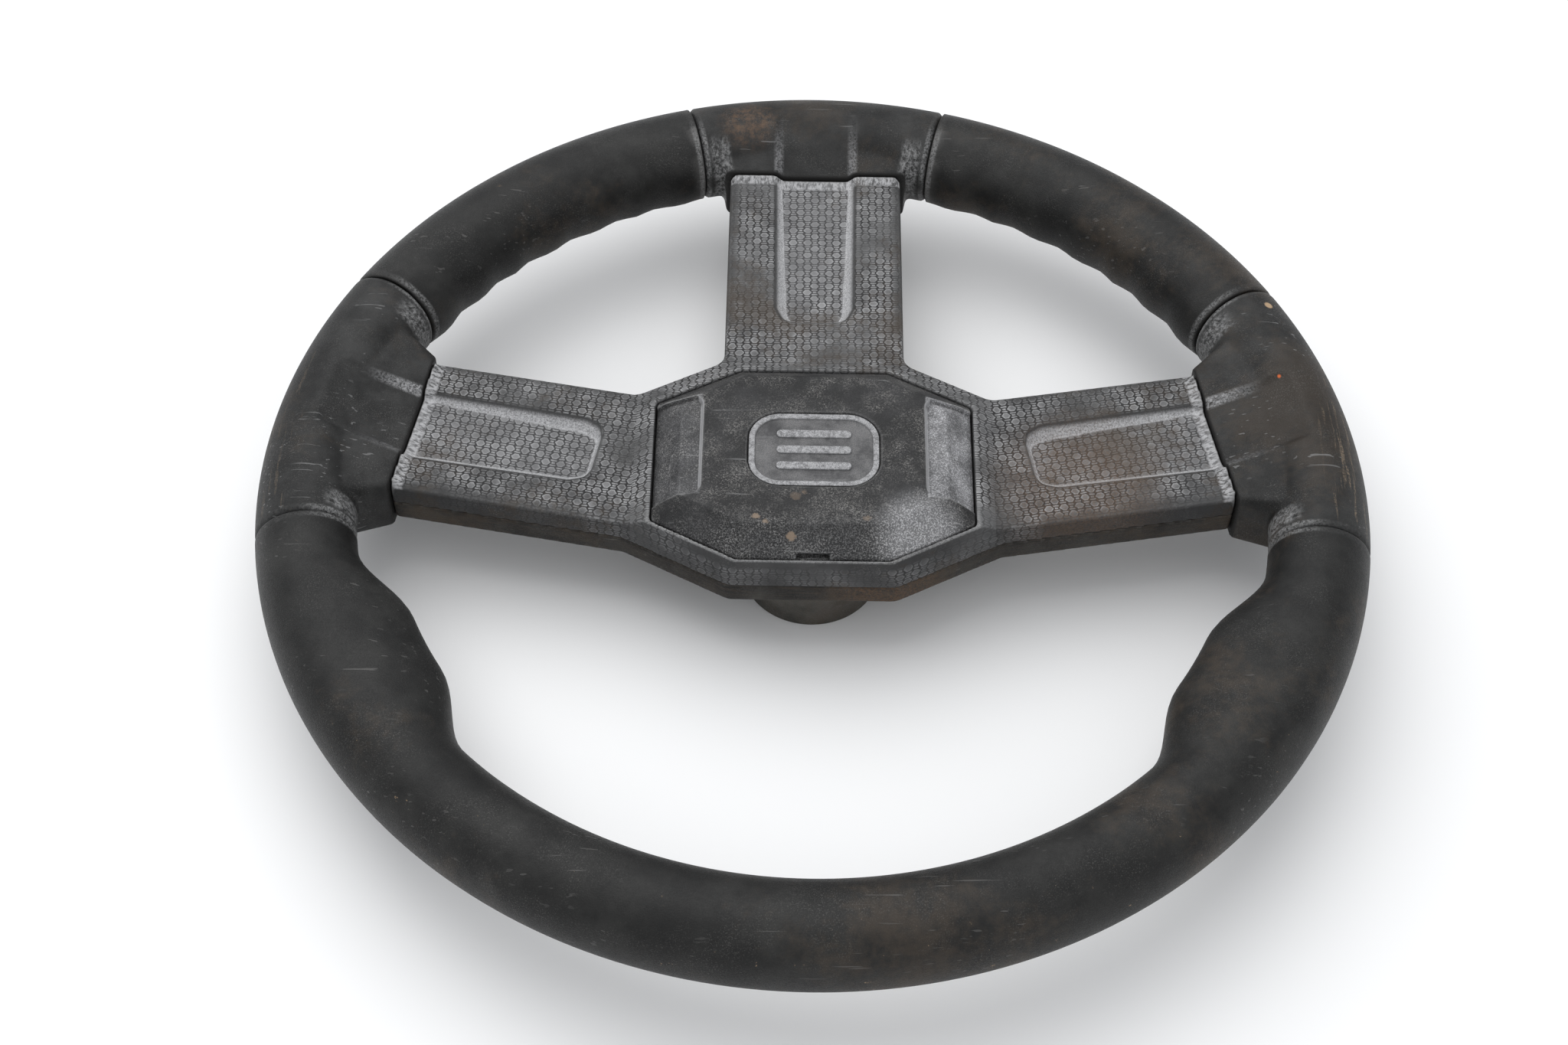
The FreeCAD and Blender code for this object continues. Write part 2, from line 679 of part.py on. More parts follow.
def ear_pockets():
    """Cutters for the shallow pockets on both sides; their floors follow the facets."""
    lowered = cap_block(EAR_DEPTH, 0, CAP_FOOT)
    reach = CAP_HALF_WIDTH + 5
    length = EAR_NEAR + EAR_FAR
    plan = rounded_box(reach - EAR_INNER, length, EAR_ROUND)
    pockets = []
    for side in (-1, 1):
        block = prism(plan, CAP_EDGE - EAR_DEPTH - 0.5, CAP_TOP + 1)
        shift = V(side * (EAR_INNER + reach) / 2, CAP_CENTRE + (EAR_FAR - EAR_NEAR) / 2, 0)
        block.translate(shift)
        pockets.append(block.cut(lowered))
    return pockets


def centre_cap():
    """Faceted shell with snap legs, side pockets, a pry notch and a sunk badge place."""
    body = cap_block(0, 0, CAP_FOOT)
    hollow = cap_block(CAP_ROOF, CAP_WALL, CAP_FOOT - 1)
    near_edge = CAP_CENTRE - CAP_HALF_DEPTH
    notch = Part.makeBox(NOTCH_WIDTH, NOTCH_DEPTH + 1, NOTCH_DEPTH + 1,
                         V(-NOTCH_WIDTH / 2, near_edge - 1, CAP_EDGE - NOTCH_DEPTH))
    shell = cut(body, hollow, notch, badge_space(), *ear_pockets())
    legs = []
    for x, y, inward in LEG_PLACES:
        leg = prism(leg_outline(0, inward), PARTING_HEIGHT + LEG_TIP_GAP, CAP_TOP)
        leg.translate(V(x, CAP_CENTRE + y, 0))
        legs.append(leg.common(cap_block(CAP_ROOF / 2, CAP_WALL / 2, PARTING_HEIGHT)))
    return fused([shell] + legs)


def badge_outline(grow):
    """The badge's outline at height 0, on the cap's centre."""
    outline = rounded_box(BADGE_WIDTH - 2 * BADGE_SLOPE + 2 * grow,
                          BADGE_HEIGHT - 2 * BADGE_SLOPE + 2 * grow,
                          BADGE_CORNER - BADGE_SLOPE + grow)
    outline.translate(V(0, CAP_CENTRE, 0))
    return outline


def badge_space():
    """The sloping pocket in the cap's face."""
    return stack([(badge_outline(0), BADGE_FLOOR), (badge_outline(BADGE_SLOPE), CAP_TOP),
                  (badge_outline(BADGE_SLOPE), CAP_TOP + 1)])


def cap_badge():
    """Plate with a raised border and plain raised bars."""
    top = BADGE_FLOOR + BADGE_PLATE + BADGE_RELIEF
    plate = prism(badge_outline(-BADGE_CLEARANCE), BADGE_FLOOR, top)
    field = prism(badge_outline(-BADGE_CLEARANCE - BADGE_BORDER), BADGE_FLOOR + BADGE_PLATE, top + 1)
    plate = plate.cut(field)
    bars = [plate]
    for k in range(BAR_COUNT):
        row = CAP_CENTRE + (k - (BAR_COUNT - 1) / 2) * BAR_PITCH
        bar = prism(rounded_box(BAR_LENGTH, BAR_WIDTH, BAR_WIDTH * 0.49), BADGE_FLOOR, top)
        bar.translate(V(0, row, 0))
        bars.append(bar)
    return fused(bars)


def build():
    """Every node of the wheel, by name."""
    nodes = {
        "rim_core_ring": core_ring(CORE_RADIUS),
        "ring_welds": ring_welds(),
        "hub_plate": hub_plate(),
        "hub_sleeve": hub_sleeve(),
        "hub_welds": hub_welds(),
        "rim_grip_upper": long_grip(),
        "rim_grip_right": rippled_grip(RIGHT_ANGLE + SIDE_SPAN, LOWER_ANGLE - LOWER_SPAN),
        "rim_grip_left": rippled_grip(LOWER_ANGLE + LOWER_SPAN, LEFT_ANGLE - SIDE_SPAN),
        "front_cover": front_cover(),
        "rear_cover": rear_cover(),
        "boss_sleeve": boss_sleeve(),
        "cover_screws": cover_screws(),
        "centre_cap": centre_cap(),
        "cap_badge": cap_badge(),
    }
    for name, spoke in SPOKES.items():
        nodes["spoke_bar_" + name] = steel_bar(spoke["angle"])
        nodes["spoke_socket_" + name] = spoke_socket(spoke)
    return nodes


os.makedirs("parts", exist_ok=True)
for node, shape in build().items():
    shape.exportStep("parts/" + node + ".step")
    print(node, "solids", len(shape.Solids), "valid", shape.isValid(), "volume", round(shape.Volume))
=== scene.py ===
"""Looks of the three-spoke steering wheel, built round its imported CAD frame.  Metres."""

import json
import math

import bmesh
import bpy
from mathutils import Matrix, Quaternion, Vector

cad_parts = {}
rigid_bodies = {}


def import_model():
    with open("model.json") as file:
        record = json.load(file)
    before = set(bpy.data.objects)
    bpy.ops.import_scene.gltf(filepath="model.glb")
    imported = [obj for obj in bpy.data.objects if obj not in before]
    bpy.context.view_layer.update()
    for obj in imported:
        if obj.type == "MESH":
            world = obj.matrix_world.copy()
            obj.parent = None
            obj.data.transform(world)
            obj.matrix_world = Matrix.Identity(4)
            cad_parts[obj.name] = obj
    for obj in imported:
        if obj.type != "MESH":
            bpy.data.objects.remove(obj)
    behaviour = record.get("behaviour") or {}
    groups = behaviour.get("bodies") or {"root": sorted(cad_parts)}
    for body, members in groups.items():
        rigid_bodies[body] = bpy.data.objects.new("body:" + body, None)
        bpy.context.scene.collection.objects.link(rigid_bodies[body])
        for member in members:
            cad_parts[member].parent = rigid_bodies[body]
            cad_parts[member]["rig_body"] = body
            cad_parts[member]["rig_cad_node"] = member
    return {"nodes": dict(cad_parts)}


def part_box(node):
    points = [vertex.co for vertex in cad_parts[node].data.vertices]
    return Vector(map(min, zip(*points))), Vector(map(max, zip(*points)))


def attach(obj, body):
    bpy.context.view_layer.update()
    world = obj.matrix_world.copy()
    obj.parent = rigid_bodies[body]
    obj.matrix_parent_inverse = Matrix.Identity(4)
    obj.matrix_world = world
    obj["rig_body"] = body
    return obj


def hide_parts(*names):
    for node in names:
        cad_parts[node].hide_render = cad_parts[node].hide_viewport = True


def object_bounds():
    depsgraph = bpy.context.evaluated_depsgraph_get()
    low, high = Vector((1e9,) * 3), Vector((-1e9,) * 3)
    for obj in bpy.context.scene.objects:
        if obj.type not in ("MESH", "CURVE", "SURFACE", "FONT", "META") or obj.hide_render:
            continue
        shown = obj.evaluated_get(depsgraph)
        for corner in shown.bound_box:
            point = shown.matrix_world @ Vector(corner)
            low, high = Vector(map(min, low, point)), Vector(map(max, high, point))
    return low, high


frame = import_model()
cad_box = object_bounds()

MM = 0.001

# ---- Places that the frame gives ----
ring_low, ring_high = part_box("rim_core_ring")
grip_low, grip_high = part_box("rim_grip_upper")
boss_low, boss_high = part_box("boss_sleeve")
sleeve_low, sleeve_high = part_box("hub_sleeve")
badge_low, badge_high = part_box("cap_badge")

RIM_HEIGHT = (ring_low.z + ring_high.z) / 2
RIM_RADIUS = ring_high.x - (ring_high.z - ring_low.z) / 2
GRIP_RADIUS = (grip_high.z - grip_low.z) / 2

# ---- The wheel's own sizes ----
SIDE_TILT = 10.2              # degrees that each side spoke leans towards the lower one
SIDE_SPAN = 18.2              # half angle of a side socket
LOWER_SPAN = 15.3             # half angle of the lower socket
RIM_SEGMENTS = 400
SECTION_SEGMENTS = 56
END_ROUND = 1.1 * MM          # rounded end of each rim moulding

SWELL_MIDDLE_LEFT = 20.2      # degrees past the left side socket
SWELL_MIDDLE_RIGHT = 21.5     # and past the right one
SWELL_HALF = 4.5              # half angle of the stretch that is pulled, in degrees
SWELL_TALL = 1.2 * MM         # and its half height
SWELL_HEIGHT = 12.0 * MM
SWELL_REACH = 34 * MM         # how far the soft pull carries
RIPPLE_COUNT = 7
RIPPLE_HALF = 1.2
RIPPLE_TALL = 9.5 * MM
RIPPLE_HEIGHT = 1.3 * MM
RIPPLE_REACH = 7.0 * MM

MERGE_GAP = 0.002 * MM        # corners closer than this are one corner
SOCKET_VOXEL = 0.75 * MM
FRONT_VOXEL = 0.85 * MM
REAR_VOXEL = 0.95 * MM
CAP_VOXEL = 0.55 * MM
BADGE_VOXEL = 0.25 * MM
GRIP_SHARP = 40               # degrees past which shading stays sharp
BOSS_SHARP = 35

BOSS_ROUND = 1.2 * MM
BOSS_GAP = 0.1 * MM           # room between the boss moulding and the steel sleeve
BADGE_BORDER = 1.7 * MM
BADGE_CORNER = 10.2 * MM
BADGE_SINK = 0.7 * MM
BADGE_WALL = 0.5 * MM         # width of the slope inside the border
BAR_COUNT = 3
BAR_LENGTH = 24 * MM
BAR_WIDTH = 3 * MM
BAR_CORNER = BAR_WIDTH * 0.48
BAR_FOOT = 0.2 * MM           # the bars start this far above the plate's underside
BAR_PITCH = 6.6 * MM

LEFT = 180 - SIDE_TILT
RIGHT = SIDE_TILT
LOWER = 90


# ---- Working by hand: selections and modes ----
def polar(radius, angle, height=0.0):
    """Point at a radius and an angle in degrees round the column axis."""
    turn = math.radians(angle)
    return Vector((radius * math.cos(turn), radius * math.sin(turn), height))


def activate(piece):
    """Only this piece is selected, and it is the active one."""
    bpy.ops.object.select_all(action="DESELECT")
    piece.select_set(True)
    bpy.context.view_layer.objects.active = piece


def settle(piece, name):
    """Names a new piece and puts its place into its mesh."""
    activate(piece)
    bpy.ops.object.transform_apply(location=True, rotation=True, scale=True)
    piece.name = name
    piece.data.name = name
    return piece


def enter(piece, kind="VERT"):
    """Edit mode with nothing selected."""
    activate(piece)
    bpy.ops.object.mode_set(mode="EDIT")
    bpy.ops.mesh.select_mode(type=kind)
    bpy.ops.mesh.select_all(action="DESELECT")


def leave():
    """Back to object mode."""
    bpy.ops.object.mode_set(mode="OBJECT")


def pick(piece, kind, test):
    """In edit mode, selects just the verts, edges or faces that pass a test."""
    bpy.ops.mesh.select_all(action="DESELECT")
    mesh = bmesh.from_edit_mesh(piece.data)
    for item in getattr(mesh, kind):
        if test(item):
            item.select_set(True)
    mesh.select_flush_mode()
    bmesh.update_edit_mesh(piece.data)


def apply_modifier(piece, kind, **settings):
    """Adds a modifier with these settings and applies it."""
    activate(piece)
    modifier = piece.modifiers.new(kind.title(), kind)
    for name, value in settings.items():
        setattr(modifier, name, value)
    bpy.ops.object.modifier_apply(modifier=modifier.name)


def smooth_shading(piece, angle=None):
    """Smooth shading, kept sharp past an angle if one is given."""
    activate(piece)
    if angle is None:
        bpy.ops.object.shade_smooth()
    else:
        bpy.ops.object.shade_smooth_by_angle(angle=math.radians(angle))


def mount(piece, body, node, finish):
    """Rides the piece on its body, in place of its CAD node, and gives it its finish."""
    piece.data.materials.clear()
    piece.data.materials.append(finish)
    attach(piece, body)
    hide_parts(node)


# ---- Node trees ----
class Tree:
    """Short calls that add and link the nodes of one tree."""

    def __init__(self, tree):
        self.tree = tree

    def add(self, kind, **settings):
        node = self.tree.nodes.new(kind)
        for name, value in settings.items():
            setattr(node, name, value)
        return node

    def feed(self, socket, value):
        if isinstance(value, bpy.types.NodeSocket):
            self.tree.links.new(value, socket)
        else:
            socket.default_value = value

    def math(self, operation, *values):
        node = self.add("ShaderNodeMath", operation=operation)
        for socket, value in zip(node.inputs, values):
            self.feed(socket, value)
        return node.outputs[0]

    def step(self, value, low, high, out_low=0.0, out_high=1.0):
        """Smooth step from low to high."""
        node = self.add("ShaderNodeMapRange", interpolation_type="SMOOTHSTEP")
        for socket, entry in zip(node.inputs, (value, low, high, out_low, out_high)):
            self.feed(socket, entry)
        return node.outputs[0]

    def mix(self, share, first, second):
        """Mix of two colours."""
        node = self.add("ShaderNodeMix", data_type="RGBA")
        self.feed(node.inputs[0], share)
        self.feed(node.inputs[6], first)
        self.feed(node.inputs[7], second)
        return node.outputs[2]

    def noise(self, vector, scale, detail=4.0, roughness=0.5):
        node = self.add("ShaderNodeTexNoise")
        self.feed(node.inputs["Vector"], vector)
        self.feed(node.inputs["Scale"], scale)
        self.feed(node.inputs["Detail"], detail)
        self.feed(node.inputs["Roughness"], roughness)
        return node.outputs[0]

    def split(self, vector):
        node = self.add("ShaderNodeSeparateXYZ")
        self.feed(node.inputs[0], vector)
        return node.outputs

    def join(self, x, y, z):
        node = self.add("ShaderNodeCombineXYZ")
        for socket, value in zip(node.inputs, (x, y, z)):
            self.feed(socket, value)
        return node.outputs[0]


def new_group(name, inputs, outputs):
    """A shader node group with named float inputs and its outputs; returns its tree and ends."""
    group = bpy.data.node_groups.new(name, "ShaderNodeTree")
    for label, value in inputs:
        socket = group.interface.new_socket(label, in_out="INPUT", socket_type="NodeSocketFloat")
        socket.default_value = value
    for label, kind in outputs:
        group.interface.new_socket(label, in_out="OUTPUT", socket_type=kind)
    tree = Tree(group)
    return tree, tree.add("NodeGroupInput"), tree.add("NodeGroupOutput")


def millimetres(tree):
    """Object coordinates in millimetres."""
    place = tree.add("ShaderNodeTexCoord").outputs["Object"]
    node = tree.add("ShaderNodeVectorMath", operation="SCALE")
    tree.feed(node.inputs[0], place)
    node.inputs["Scale"].default_value = 1 / MM
    return node.outputs[0]


def wear_group():
    """Masks of rubbed edges and of hollow corners, where shade is painted in, from the surface's own
    curvature.
    """
    tree, start, end = new_group(
        "edge_wear",
        [("Edge", 0.52), ("Softness", 0.04), ("Break Up", 0.6)],
        [("Worn", "NodeSocketFloat"), ("Corner", "NodeSocketFloat")],
    )
    curve = tree.add("ShaderNodeNewGeometry").outputs["Pointiness"]
    place = millimetres(tree)
    patches = tree.noise(place, 0.12, 6.0, 0.65)
    specks = tree.noise(place, 1.6, 4.0, 0.6)
    high = tree.math("ADD", start.outputs["Edge"], start.outputs["Softness"])
    edge = tree.step(curve, start.outputs["Edge"], high)
    broken = tree.math("MULTIPLY", tree.step(patches, 0.35, 0.62), tree.step(specks, 0.3, 0.6))
    kept = tree.math("SUBTRACT", 1.0, start.outputs["Break Up"])
    share = tree.math("ADD", kept, tree.math("MULTIPLY", broken, start.outputs["Break Up"]))
    worn = tree.math("MULTIPLY", edge, share)
    # hollow corners, which the finishes darken as painted shade
    corner = tree.step(curve, 0.49, 0.45)
    tree.feed(end.inputs["Worn"], worn)
    tree.feed(end.inputs["Corner"], corner)
    return tree.tree


def grain_group():
    """Height of the fine moulded grain, with pits and long faint scratches."""
    tree, start, end = new_group(
        "moulded_grain",
        [("Grain Scale", 3.0), ("Scratches", 0.4)],
        [("Height", "NodeSocketFloat"), ("Scratch", "NodeSocketFloat")],
    )
    place = millimetres(tree)
    grain = tree.noise(place, start.outputs["Grain Scale"], 5.0, 0.62)
    stretch = tree.add("ShaderNodeMapping")
    tree.feed(stretch.inputs["Vector"], place)
    stretch.inputs["Rotation"].default_value = (0.2, 0.1, 0.65)
    stretch.inputs["Scale"].default_value = (0.02, 0.9, 0.9)
    lines = tree.noise(stretch.outputs[0], 1.0, 2.0, 0.4)
    fine = tree.step(lines, 0.665, 0.70)
    where = tree.step(tree.noise(place, 0.035, 3.0), 0.48, 0.62)
    scratch = tree.math("MULTIPLY", tree.math("MULTIPLY", fine, where), start.outputs["Scratches"])
    height = tree.math("SUBTRACT", grain, scratch)
    tree.feed(end.inputs["Height"], height)
    tree.feed(end.inputs["Scratch"], scratch)
    return tree.tree


def dirt_group():
    """Masks of dried mud, thickest to the right, and of pale dust."""
    tree, start, end = new_group(
        "dirt_film",
        [("Mud", 0.5), ("Dust", 0.5)],
        [("Mud", "NodeSocketFloat"), ("Dust", "NodeSocketFloat")],
    )
    place = millimetres(tree)
    x, y, z = tree.split(place)
    wide = tree.noise(place, 0.022, 5.0, 0.6)
    fine = tree.noise(place, 0.35, 5.0, 0.7)
    cloud = tree.math("ADD", tree.math("MULTIPLY", wide, 0.75), tree.math("MULTIPLY", fine, 0.25))
    lean = tree.step(x, -200.0, 220.0, -0.03, 0.05)
    mud = tree.step(tree.math("ADD", cloud, lean), 0.5, 0.66)
    tree.feed(end.inputs["Mud"], tree.math("MULTIPLY", mud, start.outputs["Mud"]))
    specks = tree.step(tree.noise(place, 2.4, 3.0, 0.7), 0.52, 0.7)
    drift = tree.step(tree.noise(place, 0.06, 4.0, 0.6), 0.4, 0.66)
    dust = tree.math("MULTIPLY", tree.math("MULTIPLY", specks, drift), start.outputs["Dust"])
    tree.feed(end.inputs["Dust"], dust)
    return tree.tree


# ---- Places that the finishes follow, in millimetres ----
COBBLE_WIDTH = 5.0            # from one hexagon to the next in a row
COBBLE_ROW = 2.9              # from one row to the next
HUB_HALF = 58.0               # past this far along X a point is on a side spoke
SIDE_END = 133.0              # rim end of a side spoke, from the column axis
LOWER_END = 141.0
CHANNEL_START = 66.0          # hub end of the channels, along the spoke
CHANNEL_HALF = 16.0
SIDE_HALF = 27.5              # half width of a side spoke
LOWER_HALF = 30.0
BROWN_STAIN = (-24.0, 157.0, 56.0)
TAN_CHIP = (151.6, 72.3, 55.0)
ORANGE_NICK = (152.0, 40.5, 56.0)
REAR_RUST = (25.0, -36.0, 34.0)
SPOKE_RUST = (85.0, 2.0, 45.0)
POLISHED_SHEEN_PLACE = (34.0, -25.0, 52.0)
JOINT_ANGLES = (SIDE_TILT - SIDE_SPAN, SIDE_TILT + SIDE_SPAN, 90 - LOWER_SPAN)
CAP_MIDDLE = 6.0              # cap's centre along Y
EAR_INNER = 36.0              # the cap's side pockets, from its centre
EAR_NEAR = 19.0
EAR_FAR = 22.5


def choose(tree, share, first, second):
    """First where share is 0, second where it is 1."""
    node = tree.add("ShaderNodeMix", data_type="FLOAT")
    tree.feed(node.inputs[0], share)
    tree.feed(node.inputs[2], first)
    tree.feed(node.inputs[3], second)
    return node.outputs[0]


def product(tree, *values):
    """All the values multiplied together."""
    whole = values[0]
    for value in values[1:]:
        whole = tree.math("MULTIPLY", whole, value)
    return whole


def band(tree, value, low, high, soft):
    """1 between low and high, fading to 0 over the soft width outside them."""
    return product(tree, tree.step(value, low - soft, low), tree.step(value, high + soft, high))


def spot(tree, place, centre, radius, soft):
    """1 within a radius of a point, in millimetres."""
    node = tree.add("ShaderNodeVectorMath", operation="DISTANCE")
    tree.feed(node.inputs[0], place)
    node.inputs[1].default_value = centre
    return tree.step(node.outputs["Value"], radius + soft, radius)


def places_group():
    """Where a point lies: along and across its spoke, from the axis, and from a rim joint; in mm."""
    tree, start, end = new_group(
        "wheel_places", [],
        [(label, "NodeSocketFloat") for label in ("Along", "Across", "Side", "End", "Radius", "Joint")],
    )
    x, y, z = tree.split(millimetres(tree))
    tilt = math.radians(SIDE_TILT)
    wide = tree.math("ABSOLUTE", x)
    side = tree.math("GREATER_THAN", wide, HUB_HALF)
    along = tree.math("ADD", tree.math("MULTIPLY", wide, math.cos(tilt)),
                      tree.math("MULTIPLY", y, math.sin(tilt)))
    across = tree.math("SUBTRACT", tree.math("MULTIPLY", y, math.cos(tilt)),
                       tree.math("MULTIPLY", wide, math.sin(tilt)))
    tree.feed(end.inputs["Along"], choose(tree, side, y, along))
    tree.feed(end.inputs["Across"], choose(tree, side, x, across))
    tree.feed(end.inputs["Side"], side)
    tree.feed(end.inputs["End"], choose(tree, side, LOWER_END, SIDE_END))
    squares = tree.math("ADD", tree.math("MULTIPLY", x, x), tree.math("MULTIPLY", y, y))
    tree.feed(end.inputs["Radius"], tree.math("SQRT", squares))
    turn = tree.math("ARCTAN2", y, wide)
    nearest = 9.0
    for angle in JOINT_ANGLES:
        off = tree.math("ABSOLUTE", tree.math("SUBTRACT", turn, math.radians(angle)))
        nearest = tree.math("MINIMUM", off, nearest)
    tree.feed(end.inputs["Joint"], tree.math("MULTIPLY", nearest, RIM_RADIUS / MM))
    return tree.tree


def cobble_group(places):
    """Raised hexagons with stacks of short bars between them, in rows along each spoke."""
    tree, start, end = new_group(
        "cobbles",
        [("Groove", 0.14)],
        [("Height", "NodeSocketFloat"), ("Tone", "NodeSocketFloat")],
    )
    place = millimetres(tree)
    x, y, z = tree.split(place)
    spoke = place_group(tree, places)
    facing = tree.split(tree.add("ShaderNodeNewGeometry").outputs["True Normal"])
    flat = tree.math("GREATER_THAN", tree.math("ABSOLUTE", facing[2]), 0.62)
    sideways = tree.math("GREATER_THAN", tree.math("ABSOLUTE", facing[0]),
                         tree.math("ABSOLUTE", facing[1]))
    top_u = choose(tree, spoke["Side"], x, spoke["Along"])
    top_v = choose(tree, spoke["Side"], y, spoke["Across"])
    wall_u = choose(tree, sideways, x, y)
    sway = tree.math("MULTIPLY", tree.math("SUBTRACT", tree.noise(place, 0.35, 2.0), 0.5), 0.8)
    u = tree.math("ADD", choose(tree, flat, wall_u, top_u), sway)
    v = tree.math("ADD", choose(tree, flat, z, top_v), sway)
    lane = tree.math("DIVIDE", v, COBBLE_ROW)
    row = tree.math("FLOOR", lane)
    odd = tree.math("MODULO", tree.math("ABSOLUTE", row), 2.0)
    shifted = tree.math("ADD", tree.math("DIVIDE", u, COBBLE_WIDTH), tree.math("MULTIPLY", odd, 0.5))
    a = tree.math("SUBTRACT", tree.math("FRACT", shifted), 0.5)
    a = tree.math("ABSOLUTE", tree.math("MULTIPLY", a, COBBLE_WIDTH))
    b = tree.math("SUBTRACT", tree.math("FRACT", lane), 0.5)
    b = tree.math("ABSOLUTE", tree.math("MULTIPLY", b, COBBLE_ROW))
    slant = tree.math("ADD", tree.math("MULTIPLY", a, 0.8), tree.math("MULTIPLY", b, 0.6))
    hexagon = tree.math("SUBTRACT", tree.math("MAXIMUM", b, slant), 1.28)
    gap = tree.math("SUBTRACT", COBBLE_WIDTH / 2, a)
    bars = tree.math("MAXIMUM", tree.math("SUBTRACT", gap, 0.98),
                     tree.math("SUBTRACT", tree.math("ABSOLUTE", tree.math("SUBTRACT", b, 0.98)), 0.3))
    block = tree.math("MAXIMUM", tree.math("SUBTRACT", gap, 0.6), tree.math("SUBTRACT", b, 0.42))
    nearest = tree.math("MINIMUM", hexagon, tree.math("MINIMUM", bars, block))
    height = tree.step(nearest, start.outputs["Groove"], -0.10)
    shade = tree.add("ShaderNodeTexWhiteNoise", noise_dimensions="3D")
    tree.feed(shade.inputs[0], tree.join(tree.math("FLOOR", shifted), row, 0.0))
    rim = product(tree, tree.step(nearest, 0.0, -0.14), tree.step(nearest, -0.6, -0.2))
    tone = tree.math("ADD", tree.math("MULTIPLY", rim, 0.45),
                     tree.math("ADD", 0.25, tree.math("MULTIPLY", shade.outputs[0], 0.3)))
    tree.feed(end.inputs["Height"], height)
    tree.feed(end.inputs["Tone"], tree.math("MULTIPLY", tone, height))
    return tree.tree


def place_group(tree, group, **values):
    """Puts a node group in a tree with its own values."""
    node = tree.add("ShaderNodeGroup", node_tree=group)
    for name, value in values.items():
        tree.feed(node.inputs[name.replace("_", " ").title()], value)
    return node.outputs


WEAR = wear_group()
GRAIN = grain_group()
DIRT = dirt_group()
PLACES = places_group()
COBBLES = cobble_group(PLACES)

MUD = (0.05, 0.036, 0.024, 1)
DUST = (0.30, 0.29, 0.275, 1)
RUBBED = (0.30, 0.30, 0.30, 1)
WORN_WHITE = (0.52, 0.52, 0.53, 1)
# near-black painted shade, laid in hollow corners and crevices
PAINTED_SHADE_BLACK = (0.008, 0.0075, 0.007, 1)
TAN = (0.36, 0.25, 0.15, 1)
DRY_CLAY = (0.19, 0.145, 0.1, 1)
ORANGE = (0.6, 0.13, 0.03, 1)
BROWN = (0.2, 0.11, 0.055, 1)
OLD_RUST = (0.16, 0.085, 0.04, 1)
CHANNEL_GREY = (0.2, 0.2, 0.205, 1)
COBBLE_WORN = (0.34, 0.34, 0.345, 1)
COBBLE_GROOVE_SHADE = (0.014, 0.014, 0.014, 1)
EDGE_WORN = (0.34, 0.34, 0.34, 1)
SPOKE_STAIN = (0.14, 0.085, 0.05, 1)
SCUFFED = (0.4, 0.4, 0.4, 1)
POLISHED_SHEEN = (0.46, 0.46, 0.47, 1)
EAR_GREY = (0.5, 0.5, 0.515, 1)
BADGE_DARK = (0.03, 0.03, 0.032, 1)
BADGE_PALE = (0.085, 0.085, 0.09, 1)
BADGE_WORN = (0.42, 0.42, 0.43, 1)
RUST = (0.12, 0.05, 0.02, 1)
BARE_STEEL = (0.5, 0.5, 0.5, 1)


FOAM_GLOSS = 0.3              # specular level of the foam skins
CAP_GLOSS = 0.34


def new_material(name):
    """A material with only a Principled shader; returns it with its tree and shader."""
    material = bpy.data.materials.new(name)
    material.use_nodes = True
    tree = Tree(material.node_tree)
    shader = material.node_tree.nodes["Principled BSDF"]
    return material, tree, shader


def bump(tree, shader, height, distance):
    """Feeds a height to the shader's normal."""
    node = tree.add("ShaderNodeBump")
    node.inputs["Strength"].default_value = 1.0
    node.inputs["Distance"].default_value = distance
    tree.feed(node.inputs["Height"], height)
    tree.feed(shader.inputs["Normal"], node.outputs[0])


def shade(colour, share):
    """A colour made darker or lighter, with its alpha."""
    return tuple(c * share for c in colour) + (1,)


def foam(name, colour, mud, dust, roughness, rubbed, grain, depth, edge, marks):
    """Smooth moulded foam skin: grain, scratches, mud, dust, rubbed edges and its own marks."""
    material, tree, shader = new_material(name)
    place = millimetres(tree)
    wear = place_group(tree, WEAR, edge=edge, softness=0.035, break_up=0.55)
    skin = place_group(tree, GRAIN, grain_scale=grain, scratches=0.5)
    film = place_group(tree, DIRT, mud=mud, dust=dust)
    mottle = tree.step(tree.noise(place, 0.07, 6.0, 0.65), 0.32, 0.7)
    base = tree.mix(mottle, shade(colour, 0.35), shade(colour, 1.9))
    stains = tree.step(tree.noise(place, 0.03, 5.0, 0.6), 0.38, 0.62)
    base = tree.mix(tree.math("MULTIPLY", stains, 0.5), base, shade(colour, 0.3))
    base = tree.mix(film["Mud"], base, MUD)
    base = tree.mix(film["Dust"], base, DUST)
    base = tree.mix(tree.math("MULTIPLY", skin["Scratch"], 0.6), base, rubbed)
    base = tree.mix(tree.math("MULTIPLY", wear["Worn"], 0.45), base, rubbed)
    # painted shade: hollow corners darkened to near black
    base = tree.mix(tree.math("MULTIPLY", wear["Corner"], 0.7), base, PAINTED_SHADE_BLACK)
    for mask, tint in marks(tree, place):
        base = tree.mix(mask, base, tint)
    tree.feed(shader.inputs["Base Color"], base)
    rough = tree.step(skin["Height"], 0.3, 0.7, roughness - 0.08, roughness + 0.1)
    tree.feed(shader.inputs["Roughness"], rough)
    shader.inputs["Specular IOR Level"].default_value = FOAM_GLOSS
    bump(tree, shader, skin["Height"], depth * MM)
    return material


def no_marks(tree, place):
    """Nothing besides the general wear."""
    return []


def streaks(tree, place, low=0.38, high=0.62):
    """Fine broken speckle for scuffs."""
    return tree.step(tree.noise(place, 1.3, 5.0, 0.75), low, high)


